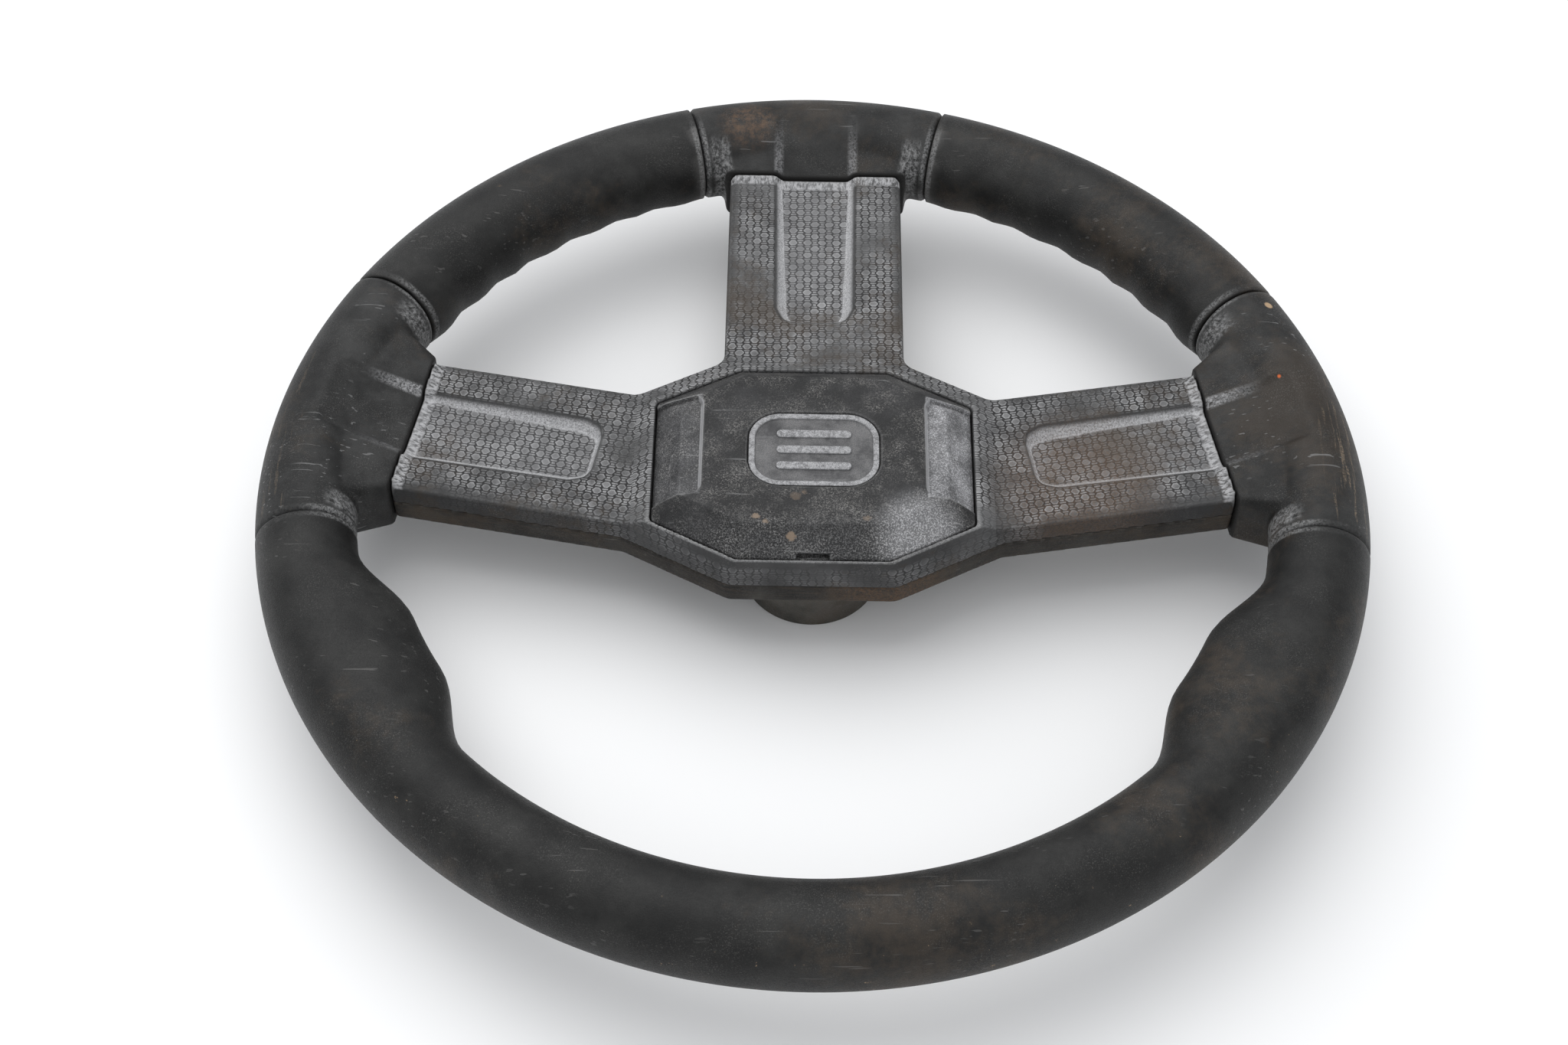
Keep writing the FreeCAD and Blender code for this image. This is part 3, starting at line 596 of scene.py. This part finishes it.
def grip_marks(tree, place):
    """Pale lips beside the joints and a few chips of tan paint."""
    spoke = place_group(tree, PLACES)
    inner = tree.step(spoke["Radius"], 164.0, 152.0, 0.12, 1.0)
    lip = product(tree, band(tree, spoke["Joint"], 1.2, 2.0, 1.0), inner,
                  streaks(tree, place, 0.36, 0.62))
    chips = product(tree, tree.step(tree.noise(place, 0.28, 5.0, 0.7), 0.68, 0.72),
                    tree.step(spoke["Radius"], 160.0, 168.0), 0.6)
    return [(tree.math("MULTIPLY", lip, 0.45), RUBBED), (chips, TAN)]


def socket_marks(tree, place):
    """Scuffed pockets beside the joints and pale ridges along the channel."""
    x, y, z = tree.split(place)
    spoke = place_group(tree, PLACES)
    inner = tree.step(spoke["Radius"], 164.0, 153.0, 0.1, 1.0)
    lip = product(tree, band(tree, spoke["Joint"], 1.0, 1.8, 1.0), inner,
                  streaks(tree, place, 0.36, 0.62), 0.6)
    stroke = tree.join(tree.math("MULTIPLY", spoke["Along"], 0.35), spoke["Across"], z)
    scuff = tree.step(tree.noise(stroke, 0.9, 5.0, 0.75), 0.36, 0.72)
    pocket = product(tree, band(tree, spoke["Joint"], 4.5, 9.0, 2.5),
                     band(tree, spoke["Radius"], 142.0, 150.0, 6.0), scuff, 0.85)
    across = tree.math("ABSOLUTE", spoke["Across"])
    fade = tree.step(tree.math("SUBTRACT", spoke["Along"], spoke["End"]), 21.0, 2.0)
    far = tree.step(spoke["Across"], -2.0, 2.0, 0.22, 0.7)
    strength = choose(tree, spoke["Side"], 0.35, far)
    ridge = product(tree, band(tree, across, 12.4, 13.6, 1.6), fade, tree.step(z, 44.0, 45.5),
                    streaks(tree, place, 0.34, 0.66), strength)
    # painted shade: a dark line where the spoke cover meets the socket
    crevice = tree.step(tree.math("SUBTRACT", spoke["Along"], spoke["End"]), 1.1, 0.2)
    brown = product(tree, spot(tree, place, BROWN_STAIN, 3.0, 10.0),
                    tree.step(tree.noise(place, 0.35, 5.0, 0.7), 0.35, 0.7), 0.4)
    chip = spot(tree, place, TAN_CHIP, 1.3, 0.6)
    nick = spot(tree, place, ORANGE_NICK, 0.6, 0.4)
    grazes = tree.join(tree.math("MULTIPLY", x, 0.8), tree.math("MULTIPLY", y, 0.05), z)
    graze = product(tree, tree.step(tree.noise(grazes, 0.7, 3.0, 0.6), 0.58, 0.66),
                    streaks(tree, place, 0.4, 0.6), tree.step(tree.math("ABSOLUTE", x), 160.0, 168.0),
                    band(tree, y, -15.0, 45.0, 12.0), tree.step(x, -200.0, 100.0, 0.35, 0.8))
    return [(lip, RUBBED), (pocket, RUBBED), (ridge, WORN_WHITE), (crevice, PAINTED_SHADE_BLACK),
            (brown, BROWN), (graze, DRY_CLAY), (chip, TAN), (nick, ORANGE)]


def rear_marks(tree, place):
    """Fine level strokes in dried mud, and a patch of old rust."""
    x, y, z = tree.split(place)
    stretch = tree.join(tree.math("MULTIPLY", x, 0.05), tree.math("MULTIPLY", y, 0.05), z)
    level = tree.step(tree.noise(stretch, 2.6, 4.0, 0.6), 0.4, 0.65)
    rust = product(tree, spot(tree, place, REAR_RUST, 8.0, 16.0), streaks(tree, place), 0.45)
    return [(tree.math("MULTIPLY", level, 0.28), shade(MUD[:3], 1.6)), (rust, OLD_RUST)]


def cobbled(name, colour):
    """Cobbled skin of the front cover, rubbed pale on slopes and edges."""
    material, tree, shader = new_material(name)
    place = millimetres(tree)
    x, y, z = tree.split(place)
    wear = place_group(tree, WEAR, edge=0.515, softness=0.03, break_up=0.35)
    skin = place_group(tree, GRAIN, grain_scale=4.0, scratches=0.3)
    film = place_group(tree, DIRT, mud=0.6, dust=0.3)
    stones = place_group(tree, COBBLES, groove=0.14)
    spoke = place_group(tree, PLACES)
    facing = tree.split(tree.add("ShaderNodeNewGeometry").outputs["Normal"])
    across = tree.math("ABSOLUTE", spoke["Across"])
    out = tree.step(spoke["Along"], CHANNEL_START, CHANNEL_START + 5.0)
    level = tree.step(facing[2], 0.8, 0.93)
    inside = product(tree, tree.step(across, CHANNEL_HALF + 2.0, CHANNEL_HALF), out)
    inside_wide = product(tree, tree.step(across, CHANNEL_HALF + 4.0, CHANNEL_HALF + 2.0), out)
    deep = product(tree, tree.step(z, 44.6, 43.9), inside, level)
    slope = product(tree, tree.step(facing[2], 0.95, 0.85), inside)
    # steep walls, which take painted shade
    low_wall = tree.step(facing[2], 0.62, 0.5)
    half = choose(tree, spoke["Side"], LOWER_HALF, SIDE_HALF)
    shoulder = product(tree, tree.step(tree.math("SUBTRACT", half, across), 5.0, 1.0), out)
    rise = tree.math("SUBTRACT", spoke["End"], spoke["Along"])
    ramp = product(tree, tree.step(rise, 4.6, 3.4), tree.step(facing[2], 0.3, 0.5))
    # the rim end of the spoke, where it meets the socket; painted shade goes here
    crevice = tree.step(rise, 0.75, 0.3)
    broad = tree.noise(place, 0.035, 5.0, 0.6)
    patches = tree.step(broad, 0.36, 0.66)
    faint = tree.step(tree.noise(place, 0.05, 3.0, 0.5), 0.36, 0.56, 0.25, 1.0)
    near = product(tree, tree.step(y, -22.0, -30.0), tree.step(z, 44.5, 46.5))
    texture = product(tree, tree.math("MAXIMUM", faint, tree.math("MULTIPLY", deep, 0.85)),
                      tree.math("SUBTRACT", 1.0, slope), tree.math("SUBTRACT", 1.0, ramp),
                      tree.math("SUBTRACT", 1.0, tree.math("MULTIPLY", shoulder, 0.8)),
                      tree.math("SUBTRACT", 1.0, near),
                      tree.math("SUBTRACT", 1.0, tree.math("MULTIPLY", low_wall, 0.55)))
    chalk = tree.step(tree.noise(place, 0.11, 5.0, 0.7), 0.36, 0.64, 0.3, 1.0)
    base = tree.mix(patches, shade(colour, 0.6), shade(colour, 1.25))
    base = tree.mix(tree.math("MULTIPLY", spoke["Side"], 0.5), base, shade(colour, 0.3))
    base = tree.mix(tree.math("MULTIPLY", deep, 0.4), base, CHANNEL_GREY)
    # painted shade along the rounded edges of the spokes
    base = tree.mix(tree.math("MULTIPLY", shoulder, 0.55), base, shade(colour, 0.3))
    # painted shade on the steep walls
    base = tree.mix(tree.math("MULTIPLY", low_wall, 0.5), base, shade(colour, 0.4))
    base = tree.mix(product(tree, stones["Tone"], texture, chalk, 0.9), base, COBBLE_WORN)
    # painted shade in the grooves between the cobbles
    groove = tree.math("SUBTRACT", 1.0, stones["Height"])
    base = tree.mix(product(tree, groove, texture, 0.72), base, COBBLE_GROOVE_SHADE)
    base = tree.mix(film["Mud"], base, MUD)
    base = tree.mix(film["Dust"], base, DUST)
    speckle = tree.step(tree.noise(place, 1.8, 5.0, 0.75), 0.3, 0.66)
    # painted shade: a dark band along the top of the channel slopes
    brow = product(tree, inside_wide, band(tree, z, 44.7, 45.25, 0.5),
                   tree.step(facing[2], 0.985, 0.93))
    base = tree.mix(tree.math("MULTIPLY", brow, 0.6), base, shade(colour, 0.25))
    height_fade = tree.step(z, 45.2, 43.4, 0.0, 1.0)
    pale = product(tree, slope, height_fade,
                   tree.math("ADD", 0.2, tree.math("MULTIPLY", speckle, 0.8)))
    base = tree.mix(tree.math("MULTIPLY", pale, 0.9), base, WORN_WHITE)
    strokes = tree.join(tree.math("MULTIPLY", spoke["Along"], 0.3), spoke["Across"], z)
    hatch = tree.step(tree.noise(strokes, 1.1, 3.0, 0.7), 0.38, 0.62, 0.05, 1.0)
    base = tree.mix(product(tree, ramp, hatch, 0.62), base, WORN_WHITE)
    foot = product(tree, wear["Corner"], inside, speckle)
    outer_corner = product(tree, wear["Corner"], tree.math("SUBTRACT", 1.0, inside))
    base = tree.mix(foot, base, WORN_WHITE)
    lip = product(tree, tree.step(z, 48.4, 49.0), tree.step(y, -8.0, -20.0, 0.2, 0.75), speckle)
    shelf = product(tree, tree.step(z, 47.2, 46.6), tree.step(z, 40.0, 43.0), 0.4)
    rubbed = product(tree, wear["Worn"], tree.math("MAXIMUM", shelf, lip))
    base = tree.mix(rubbed, base, EDGE_WORN)
    # painted shade in the hollow corners outside the channels
    base = tree.mix(tree.math("MULTIPLY", outer_corner, 0.7), base, PAINTED_SHADE_BLACK)
    rust = product(tree, spot(tree, place, SPOKE_RUST, 14.0, 22.0),
                   streaks(tree, place, 0.3, 0.7), 0.5)
    base = tree.mix(rust, base, SPOKE_STAIN)
    # painted shade in the crevice at the spoke's rim end
    base = tree.mix(crevice, base, PAINTED_SHADE_BLACK)
    tree.feed(shader.inputs["Base Color"], base)
    shader.inputs["Roughness"].default_value = 0.8
    shader.inputs["Specular IOR Level"].default_value = FOAM_GLOSS
    relief = tree.math("ADD", product(tree, stones["Height"], texture, 0.8),
                       tree.math("MULTIPLY", skin["Height"], 0.3))
    bump(tree, shader, relief, 0.22 * MM)
    return material


def ear_mask(tree, place):
    """The shallow pocket on each side of the cap."""
    x, y, z = tree.split(place)
    wide = tree.math("ABSOLUTE", x)
    return product(tree, tree.step(wide, EAR_INNER - 0.3, EAR_INNER + 0.3),
                   band(tree, y, CAP_MIDDLE - EAR_NEAR, CAP_MIDDLE + EAR_FAR, 0.5))


SPLASH = (0.22, 0.165, 0.12, 1)
SPLASHES = (
    ((-5.8, -26.8, 54), 1.2, 0.9), ((-16.8, -20.8, 57), 0.9, 0.8), ((-13.8, -22.8, 57), 0.7, 0.7),
    ((-1.8, -10.8, 57.7), 1.0, 0.6), ((-4.5, -12.5, 57.7), 1.6, 0.3), ((18.0, -21.0, 57), 0.8, 0.4),
    ((-34.0, -12.0, 55), 0.8, 0.5),
)


def cap_finish(name, colour):
    """Fine-grained black plastic, scuffed pale towards its edges, with dried splashes."""
    material, tree, shader = new_material(name)
    place = millimetres(tree)
    x, y, z = tree.split(place)
    wear = place_group(tree, WEAR, edge=0.515, softness=0.04, break_up=0.5)
    skin = place_group(tree, GRAIN, grain_scale=2.6, scratches=0.5)
    film = place_group(tree, DIRT, mud=0.1, dust=0.6)
    facing = tree.split(tree.add("ShaderNodeNewGeometry").outputs["Normal"])
    mottle = tree.step(tree.noise(place, 0.08, 6.0, 0.7), 0.34, 0.7)
    base = tree.mix(mottle, shade(colour, 0.55), shade(colour, 1.4))
    specks = tree.step(tree.noise(place, 1.9, 4.0, 0.8), 0.49, 0.6)
    drift = tree.step(tree.noise(place, 0.09, 5.0, 0.7), 0.42, 0.66, 0.03, 0.7)
    base = tree.mix(product(tree, drift, specks, 0.7), base, DUST)
    bright = tree.step(x, 10.0, 36.0, 0.35, 1.0)
    near = product(tree, tree.step(y, -17.0, -30.0), bright)
    base = tree.mix(product(tree, near, specks, 0.8), base, SCUFFED)
    # painted sheen: a rubbed, polished spot painted pale grey
    polished_sheen = product(tree, spot(tree, place, POLISHED_SHEEN_PLACE, 6.0, 12.0),
                       tree.math("ADD", 0.3, tree.math("MULTIPLY", specks, 0.7)))
    base = tree.mix(polished_sheen, base, POLISHED_SHEEN)
    base = tree.mix(film["Dust"], base, DUST)
    ear = ear_mask(tree, place)
    # painted light: the right pocket is painted paler than the left; the speckled grey itself is scuff
    # and dust
    painted_light_lean = tree.step(x, -40.0, 40.0, 0.22, 1.0)
    cloud = tree.step(tree.noise(place, 0.12, 5.0, 0.7), 0.3, 0.66, 0.4, 1.0)
    grey = tree.math("ADD", 0.35, tree.math("MULTIPLY", specks, 0.65))
    base = tree.mix(product(tree, ear, painted_light_lean, cloud, grey), base, EAR_GREY)
    steep = tree.step(tree.math("ABSOLUTE", facing[0]), 0.35, 0.75)
    wide = tree.math("ABSOLUTE", x)
    inner_wall = product(tree, band(tree, wide, EAR_INNER - 1.2, EAR_INNER + 1.4, 0.4),
                         band(tree, y, CAP_MIDDLE - EAR_NEAR, CAP_MIDDLE + EAR_FAR, 0.5), steep)
    base = tree.mix(tree.math("MULTIPLY", inner_wall, 0.6), base, WORN_WHITE)
    base = tree.mix(tree.math("MULTIPLY", wear["Worn"], 0.6), base, RUBBED)
    wobble = tree.add("ShaderNodeVectorMath", operation="SCALE")
    tree.feed(wobble.inputs[0], tree.join(tree.noise(place, 0.8), tree.noise(place, 1.1), 0.0))
    wobble.inputs["Scale"].default_value = 2.4
    ragged = tree.add("ShaderNodeVectorMath", operation="ADD")
    tree.feed(ragged.inputs[0], place)
    tree.feed(ragged.inputs[1], wobble.outputs[0])
    for centre, radius, strength in SPLASHES:
        splash = spot(tree, ragged.outputs[0], centre, radius, 0.7)
        base = tree.mix(tree.math("MULTIPLY", splash, strength), base, SPLASH)
    # painted shade: hollow corners darkened to near black
    base = tree.mix(tree.math("MULTIPLY", wear["Corner"], 0.6), base, PAINTED_SHADE_BLACK)
    base = tree.mix(tree.math("MULTIPLY", skin["Scratch"], 0.8), base, RUBBED)
    tree.feed(shader.inputs["Base Color"], base)
    tree.feed(shader.inputs["Roughness"], tree.step(skin["Height"], 0.3, 0.7, 0.5, 0.72))
    shader.inputs["Specular IOR Level"].default_value = CAP_GLOSS
    bump(tree, shader, skin["Height"], 0.14 * MM)
    return material


def badge_finish(name):
    """Grey plastic whose raised border and bars are rubbed nearly white."""
    material, tree, shader = new_material(name)
    place = millimetres(tree)
    x, y, z = tree.split(place)
    top = badge_high.z / MM
    skin = place_group(tree, GRAIN, grain_scale=3.0, scratches=0.5)
    specks = tree.step(tree.noise(place, 2.6, 4.0, 0.8), 0.40, 0.62)
    cloud = tree.step(tree.noise(place, 0.12, 5.0, 0.7), 0.3, 0.7)
    base = tree.mix(cloud, BADGE_DARK, BADGE_PALE)
    base = tree.mix(product(tree, specks, cloud, 0.4), base, DUST)
    worn_through = tree.step(tree.noise(place, 0.7, 5.0, 0.8), 0.36, 0.58, 0.25, 1.0)
    raised = product(tree, tree.step(z, top - 0.45, top - 0.15),
                     tree.math("ADD", 0.4, tree.math("MULTIPLY", specks, 0.6)), worn_through)
    base = tree.mix(raised, base, BADGE_WORN)
    base = tree.mix(tree.math("MULTIPLY", skin["Scratch"], 0.8), base, SCUFFED)
    tree.feed(shader.inputs["Base Color"], base)
    tree.feed(shader.inputs["Roughness"], tree.step(skin["Height"], 0.3, 0.7, 0.5, 0.75))
    bump(tree, shader, skin["Height"], 0.12 * MM)
    return material


def steel(name, colour, metallic, roughness, rust):
    """Steel with mill grain, stains and bare scratches."""
    material, tree, shader = new_material(name)
    place = millimetres(tree)
    skin = place_group(tree, GRAIN, grain_scale=1.4, scratches=0.8)
    stain = tree.step(tree.noise(place, 0.16, 6.0, 0.7), 0.5, 0.72)
    mottle = tree.step(tree.noise(place, 0.6, 4.0), 0.3, 0.7)
    base = tree.mix(mottle, shade(colour, 0.8), shade(colour, 1.2))
    base = tree.mix(tree.math("MULTIPLY", stain, rust), base, RUST)
    base = tree.mix(skin["Scratch"], base, BARE_STEEL)
    tree.feed(shader.inputs["Base Color"], base)
    shine = tree.step(stain, 0.2, 1.0, metallic, metallic * (1 - rust))
    tree.feed(shader.inputs["Metallic"], shine)
    rough = tree.step(skin["Height"], 0.3, 0.7, roughness - 0.1, roughness + 0.12)
    tree.feed(shader.inputs["Roughness"], rough)
    bump(tree, shader, skin["Height"], 0.06 * MM)
    return material


GRIP_FOAM = foam(
    "grip_foam", (0.0095, 0.0094, 0.0088), mud=0.5, dust=0.16, roughness=0.5,
    rubbed=(0.16, 0.155, 0.15, 1), grain=2.2, depth=0.14, edge=0.53, marks=grip_marks)
SOCKET_FOAM = foam(
    "socket_foam", (0.015, 0.015, 0.0147), mud=0.4, dust=0.2, roughness=0.55,
    rubbed=RUBBED, grain=2.6, depth=0.1, edge=0.525, marks=socket_marks)
SMOOTH_FOAM = foam(
    "smooth_foam", (0.024, 0.023, 0.021), mud=0.7, dust=0.2, roughness=0.7,
    rubbed=(0.14, 0.13, 0.12, 1), grain=2.0, depth=0.15, edge=0.53, marks=rear_marks)
BOSS_FOAM = foam(
    "boss_foam", (0.072, 0.069, 0.058), mud=0.7, dust=0.15, roughness=0.6,
    rubbed=(0.12, 0.11, 0.1, 1), grain=1.6, depth=0.2, edge=0.53, marks=no_marks)
COBBLED_FOAM = cobbled("cobbled_foam", (0.082, 0.082, 0.083))
CAP_PLASTIC = cap_finish("cap_plastic", (0.017, 0.017, 0.0178))
BADGE_PLASTIC = badge_finish("badge_plastic")
ARMATURE = steel("armature_steel", (0.03, 0.03, 0.03), metallic=0.0, roughness=0.45, rust=0.5)
WELD = steel("weld_metal", (0.05, 0.05, 0.05), metallic=0.2, roughness=0.5, rust=0.6)
SLEEVE = steel("sleeve_steel", (0.42, 0.41, 0.4), metallic=1.0, roughness=0.35, rust=0.5)
SCREWS = steel("screw_steel", (0.16, 0.16, 0.16), metallic=1.0, roughness=0.4, rust=0.3)


# ---- Rim ----
def rim_stretch(name, start, end):
    """A stretch of the round rim, cut out of a torus and capped, with rounded ends."""
    bpy.ops.object.select_all(action="DESELECT")
    bpy.ops.mesh.primitive_torus_add(
        major_radius=RIM_RADIUS, minor_radius=GRIP_RADIUS, location=(0, 0, RIM_HEIGHT),
        major_segments=RIM_SEGMENTS, minor_segments=SECTION_SEGMENTS)
    piece = settle(bpy.context.object, name)
    enter(piece)
    for angle, way in ((start, 90), (end, -90)):
        bpy.ops.mesh.select_all(action="SELECT")
        bpy.ops.mesh.bisect(plane_co=polar(RIM_RADIUS, angle, RIM_HEIGHT),
                            plane_no=polar(1, angle + way), use_fill=True, clear_inner=True)
    pick(piece, "edges", lambda e: len(e.link_faces) == 2 and e.calc_face_angle() > 1.0)
    bpy.ops.mesh.bevel(offset=END_ROUND, segments=3)
    leave()
    return piece


def push_inwards(piece, angle, half, tall, height, reach):
    """Pulls the inside of the rim inwards round an angle, with a soft fall-off."""

    def on_inside(vert):
        there = Vector((vert.co.x, vert.co.y))
        turn = there.angle_signed(Vector(polar(1, angle)[:2]))
        close = abs(math.degrees(turn)) < half and abs(vert.co.z - RIM_HEIGHT) < tall
        return close and there.length < RIM_RADIUS - GRIP_RADIUS / 2

    pick(piece, "verts", on_inside)
    bpy.ops.transform.translate(
        value=polar(-height, angle), use_proportional_edit=True, use_proportional_connected=True,
        proportional_edit_falloff="SMOOTH", proportional_size=reach)


def long_grip():
    """The large arc with its two palm swells."""
    start = LEFT + SIDE_SPAN
    end = RIGHT - SIDE_SPAN + 360
    piece = rim_stretch("long_grip", start, end)
    enter(piece)
    for angle in (start + SWELL_MIDDLE_LEFT, end - SWELL_MIDDLE_RIGHT):
        push_inwards(piece, angle, SWELL_HALF, SWELL_TALL, SWELL_HEIGHT, SWELL_REACH)
    leave()
    return piece


def rippled_grip(name, start, end):
    """A short arc with finger ripples along its inside."""
    piece = rim_stretch(name, start, end)
    enter(piece)
    for k in range(RIPPLE_COUNT):
        angle = start + (end - start) * (k + 0.5) / RIPPLE_COUNT
        push_inwards(piece, angle, RIPPLE_HALF, RIPPLE_TALL, RIPPLE_HEIGHT, RIPPLE_REACH)
    leave()
    return piece


# ---- Softened copies of the covers ----
def softened(node, name, voxel, passes):
    """A merged copy of a CAD piece whose edges are softened as a foam mould leaves them."""
    source = frame["nodes"][node]
    activate(source)
    bpy.ops.object.duplicate()
    piece = bpy.context.object
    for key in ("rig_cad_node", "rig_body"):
        del piece[key]
    piece.parent = None
    settle(piece, name)
    enter(piece)
    bpy.ops.mesh.select_all(action="SELECT")
    bpy.ops.mesh.remove_doubles(threshold=MERGE_GAP)
    leave()
    apply_modifier(piece, "REMESH", mode="VOXEL", voxel_size=voxel)
    apply_modifier(piece, "SMOOTH", factor=0.5, iterations=passes)
    smooth_shading(piece)
    return piece


# ---- Boss ----
def boss():
    """Round moulding over the steel sleeve, bored through and rounded at its foot."""
    radius = (boss_high.x - boss_low.x) / 2
    bore = (sleeve_high.x - sleeve_low.x) / 2 + BOSS_GAP
    bpy.ops.object.select_all(action="DESELECT")
    bpy.ops.mesh.primitive_cylinder_add(vertices=128, radius=radius, depth=boss_high.z - boss_low.z,
                                        location=(0, 0, (boss_high.z + boss_low.z) / 2))
    piece = settle(bpy.context.object, "boss_moulding")
    enter(piece, "FACE")
    pick(piece, "faces", lambda f: abs(f.normal.z) > 0.9)
    bpy.ops.mesh.inset(thickness=radius - bore)
    bpy.ops.mesh.bridge_edge_loops()
    pick(piece, "edges", lambda e: max(v.co.z for v in e.verts) < boss_low.z + 0.01 * MM
         and e.calc_face_angle(0) > 1.0)
    bpy.ops.mesh.bevel(offset=BOSS_ROUND, segments=4)
    leave()
    smooth_shading(piece, BOSS_SHARP)
    return piece


# ---- Badge ----
def slab(name, low, high, corner):
    """A block between two corners whose upright edges are rounded."""
    size = high - low
    bpy.ops.object.select_all(action="DESELECT")
    bpy.ops.mesh.primitive_cube_add(size=1, location=(low + high) / 2, scale=size)
    piece = settle(bpy.context.object, name)
    enter(piece, "EDGE")
    pick(piece, "edges", lambda e: abs(e.verts[0].co.z - e.verts[1].co.z) > size.z / 2)
    bpy.ops.mesh.bevel(offset=corner, segments=12)
    leave()
    return piece


def badge():
    """Plate with a raised border and plain raised bars."""
    piece = slab("badge_plate", badge_low, badge_high, BADGE_CORNER)
    enter(piece, "FACE")
    pick(piece, "faces", lambda f: f.normal.z > 0.9)
    bpy.ops.mesh.inset(thickness=BADGE_BORDER)
    bpy.ops.mesh.inset(thickness=BADGE_WALL)
    bpy.ops.transform.translate(value=(0, 0, -BADGE_SINK))
    leave()
    centre = (badge_low + badge_high) / 2
    parts = [piece]
    for k in range(BAR_COUNT):
        row = centre.y + (k - (BAR_COUNT - 1) / 2) * BAR_PITCH
        low = Vector((-BAR_LENGTH / 2, row - BAR_WIDTH / 2, badge_low.z + BAR_FOOT))
        high = Vector((BAR_LENGTH / 2, row + BAR_WIDTH / 2, badge_high.z))
        parts.append(slab("bar", low, high, BAR_CORNER))
    activate(piece)
    for part in parts:
        part.select_set(True)
    bpy.ops.object.join()
    apply_modifier(piece, "REMESH", mode="VOXEL", voxel_size=BADGE_VOXEL)
    apply_modifier(piece, "SMOOTH", factor=0.5, iterations=2)
    smooth_shading(piece)
    return piece


upper = long_grip()
smooth_shading(upper, GRIP_SHARP)
mount(upper, "wheel", "rim_grip_upper", GRIP_FOAM)
for name, start, end in (("right", RIGHT + SIDE_SPAN, LOWER - LOWER_SPAN),
                         ("left", LOWER + LOWER_SPAN, LEFT - SIDE_SPAN)):
    short = rippled_grip("short_grip_" + name, start, end)
    smooth_shading(short, GRIP_SHARP)
    mount(short, "wheel", "rim_grip_" + name, GRIP_FOAM)
for name in ("left", "right", "lower"):
    block = softened("spoke_socket_" + name, "socket_" + name, SOCKET_VOXEL, passes=4)
    mount(block, "wheel", "spoke_socket_" + name, SOCKET_FOAM)
front = softened("front_cover", "front_moulding", FRONT_VOXEL, passes=3)
mount(front, "wheel", "front_cover", COBBLED_FOAM)
rear = softened("rear_cover", "rear_moulding", REAR_VOXEL, passes=3)
mount(rear, "wheel", "rear_cover", SMOOTH_FOAM)
cap = softened("centre_cap", "cap_shell", CAP_VOXEL, passes=3)
mount(cap, "cap", "centre_cap", CAP_PLASTIC)
mount(boss(), "wheel", "boss_sleeve", BOSS_FOAM)
mount(badge(), "cap", "cap_badge", BADGE_PLASTIC)

FINISHES = {
    "rim_core_ring": ARMATURE, "hub_plate": ARMATURE, "spoke_bar_left": ARMATURE,
    "spoke_bar_right": ARMATURE, "spoke_bar_lower": ARMATURE, "ring_welds": WELD,
    "hub_welds": WELD, "hub_sleeve": SLEEVE, "cover_screws": SCREWS,
}
for node, finish in FINISHES.items():
    slots = frame["nodes"][node].material_slots
    for entry in slots:
        entry.material = finish

# ---- Stage ----
CAMERA_TARGET = Vector((-9.2 * MM, -12.1 * MM, RIM_HEIGHT))
CAMERA_DISTANCE = 849.7 * MM
CAMERA_ELEVATION = 51.43
CAMERA_ROLL = 0.90
CAMERA_LENS = 61.1
CAMERA_SENSOR = 36
FLOOR_SIZE = 6
FLOOR_COLOUR = (0.85, 0.85, 0.85, 1)
FLOOR_ROUGHNESS = 0.9
WORLD_COLOUR = (0.95, 0.97, 1, 1)
WORLD_STRENGTH = 0.62


def camera():
    """Looks down at the wheel from in front of its long grip."""
    data = bpy.data.cameras.new("camera")
    data.lens = CAMERA_LENS
    data.sensor_width = CAMERA_SENSOR
    eye = bpy.data.objects.new("camera", data)
    bpy.context.scene.collection.objects.link(eye)
    tilt = math.radians(CAMERA_ELEVATION)
    back = Vector((0, -math.cos(tilt), math.sin(tilt)))
    eye.location = CAMERA_TARGET + back * CAMERA_DISTANCE
    eye.rotation_mode = "QUATERNION"
    roll = Quaternion((0, 0, 1), math.radians(CAMERA_ROLL))
    eye.rotation_quaternion = back.to_track_quat("Z", "Y") @ roll
    bpy.context.scene.camera = eye


def soft_light(name, place, size, power):
    """A large area light aimed at the wheel."""
    data = bpy.data.lights.new(name, "AREA")
    data.shape = "DISK"
    data.size = size
    data.energy = power
    lamp = bpy.data.objects.new(name, data)
    bpy.context.scene.collection.objects.link(lamp)
    lamp.location = place
    aim = Vector(place) - Vector((0, 0, RIM_HEIGHT))
    lamp.rotation_mode = "QUATERNION"
    lamp.rotation_quaternion = aim.to_track_quat("Z", "Y")


def stage():
    """Pale floor, pale world and soft lights."""
    bpy.ops.object.select_all(action="DESELECT")
    bpy.ops.mesh.primitive_plane_add(size=FLOOR_SIZE, location=(0, 0, cad_box[0][2]))
    floor = settle(bpy.context.object, "floor")
    material, _, shader = new_material("floor")
    shader.inputs["Base Color"].default_value = FLOOR_COLOUR
    shader.inputs["Roughness"].default_value = FLOOR_ROUGHNESS
    floor.data.materials.append(material)
    world = bpy.data.worlds.new("studio")
    world.use_nodes = True
    background = world.node_tree.nodes["Background"]
    background.inputs["Color"].default_value = WORLD_COLOUR
    background.inputs["Strength"].default_value = WORLD_STRENGTH
    bpy.context.scene.world = world
    soft_light("key", (-0.4, 0.6, 1.8), size=2.6, power=34)
    soft_light("front", (0.3, -1.2, 1.6), size=2.4, power=9)
    bpy.context.scene.view_settings.view_transform = "Standard"


camera()
stage()
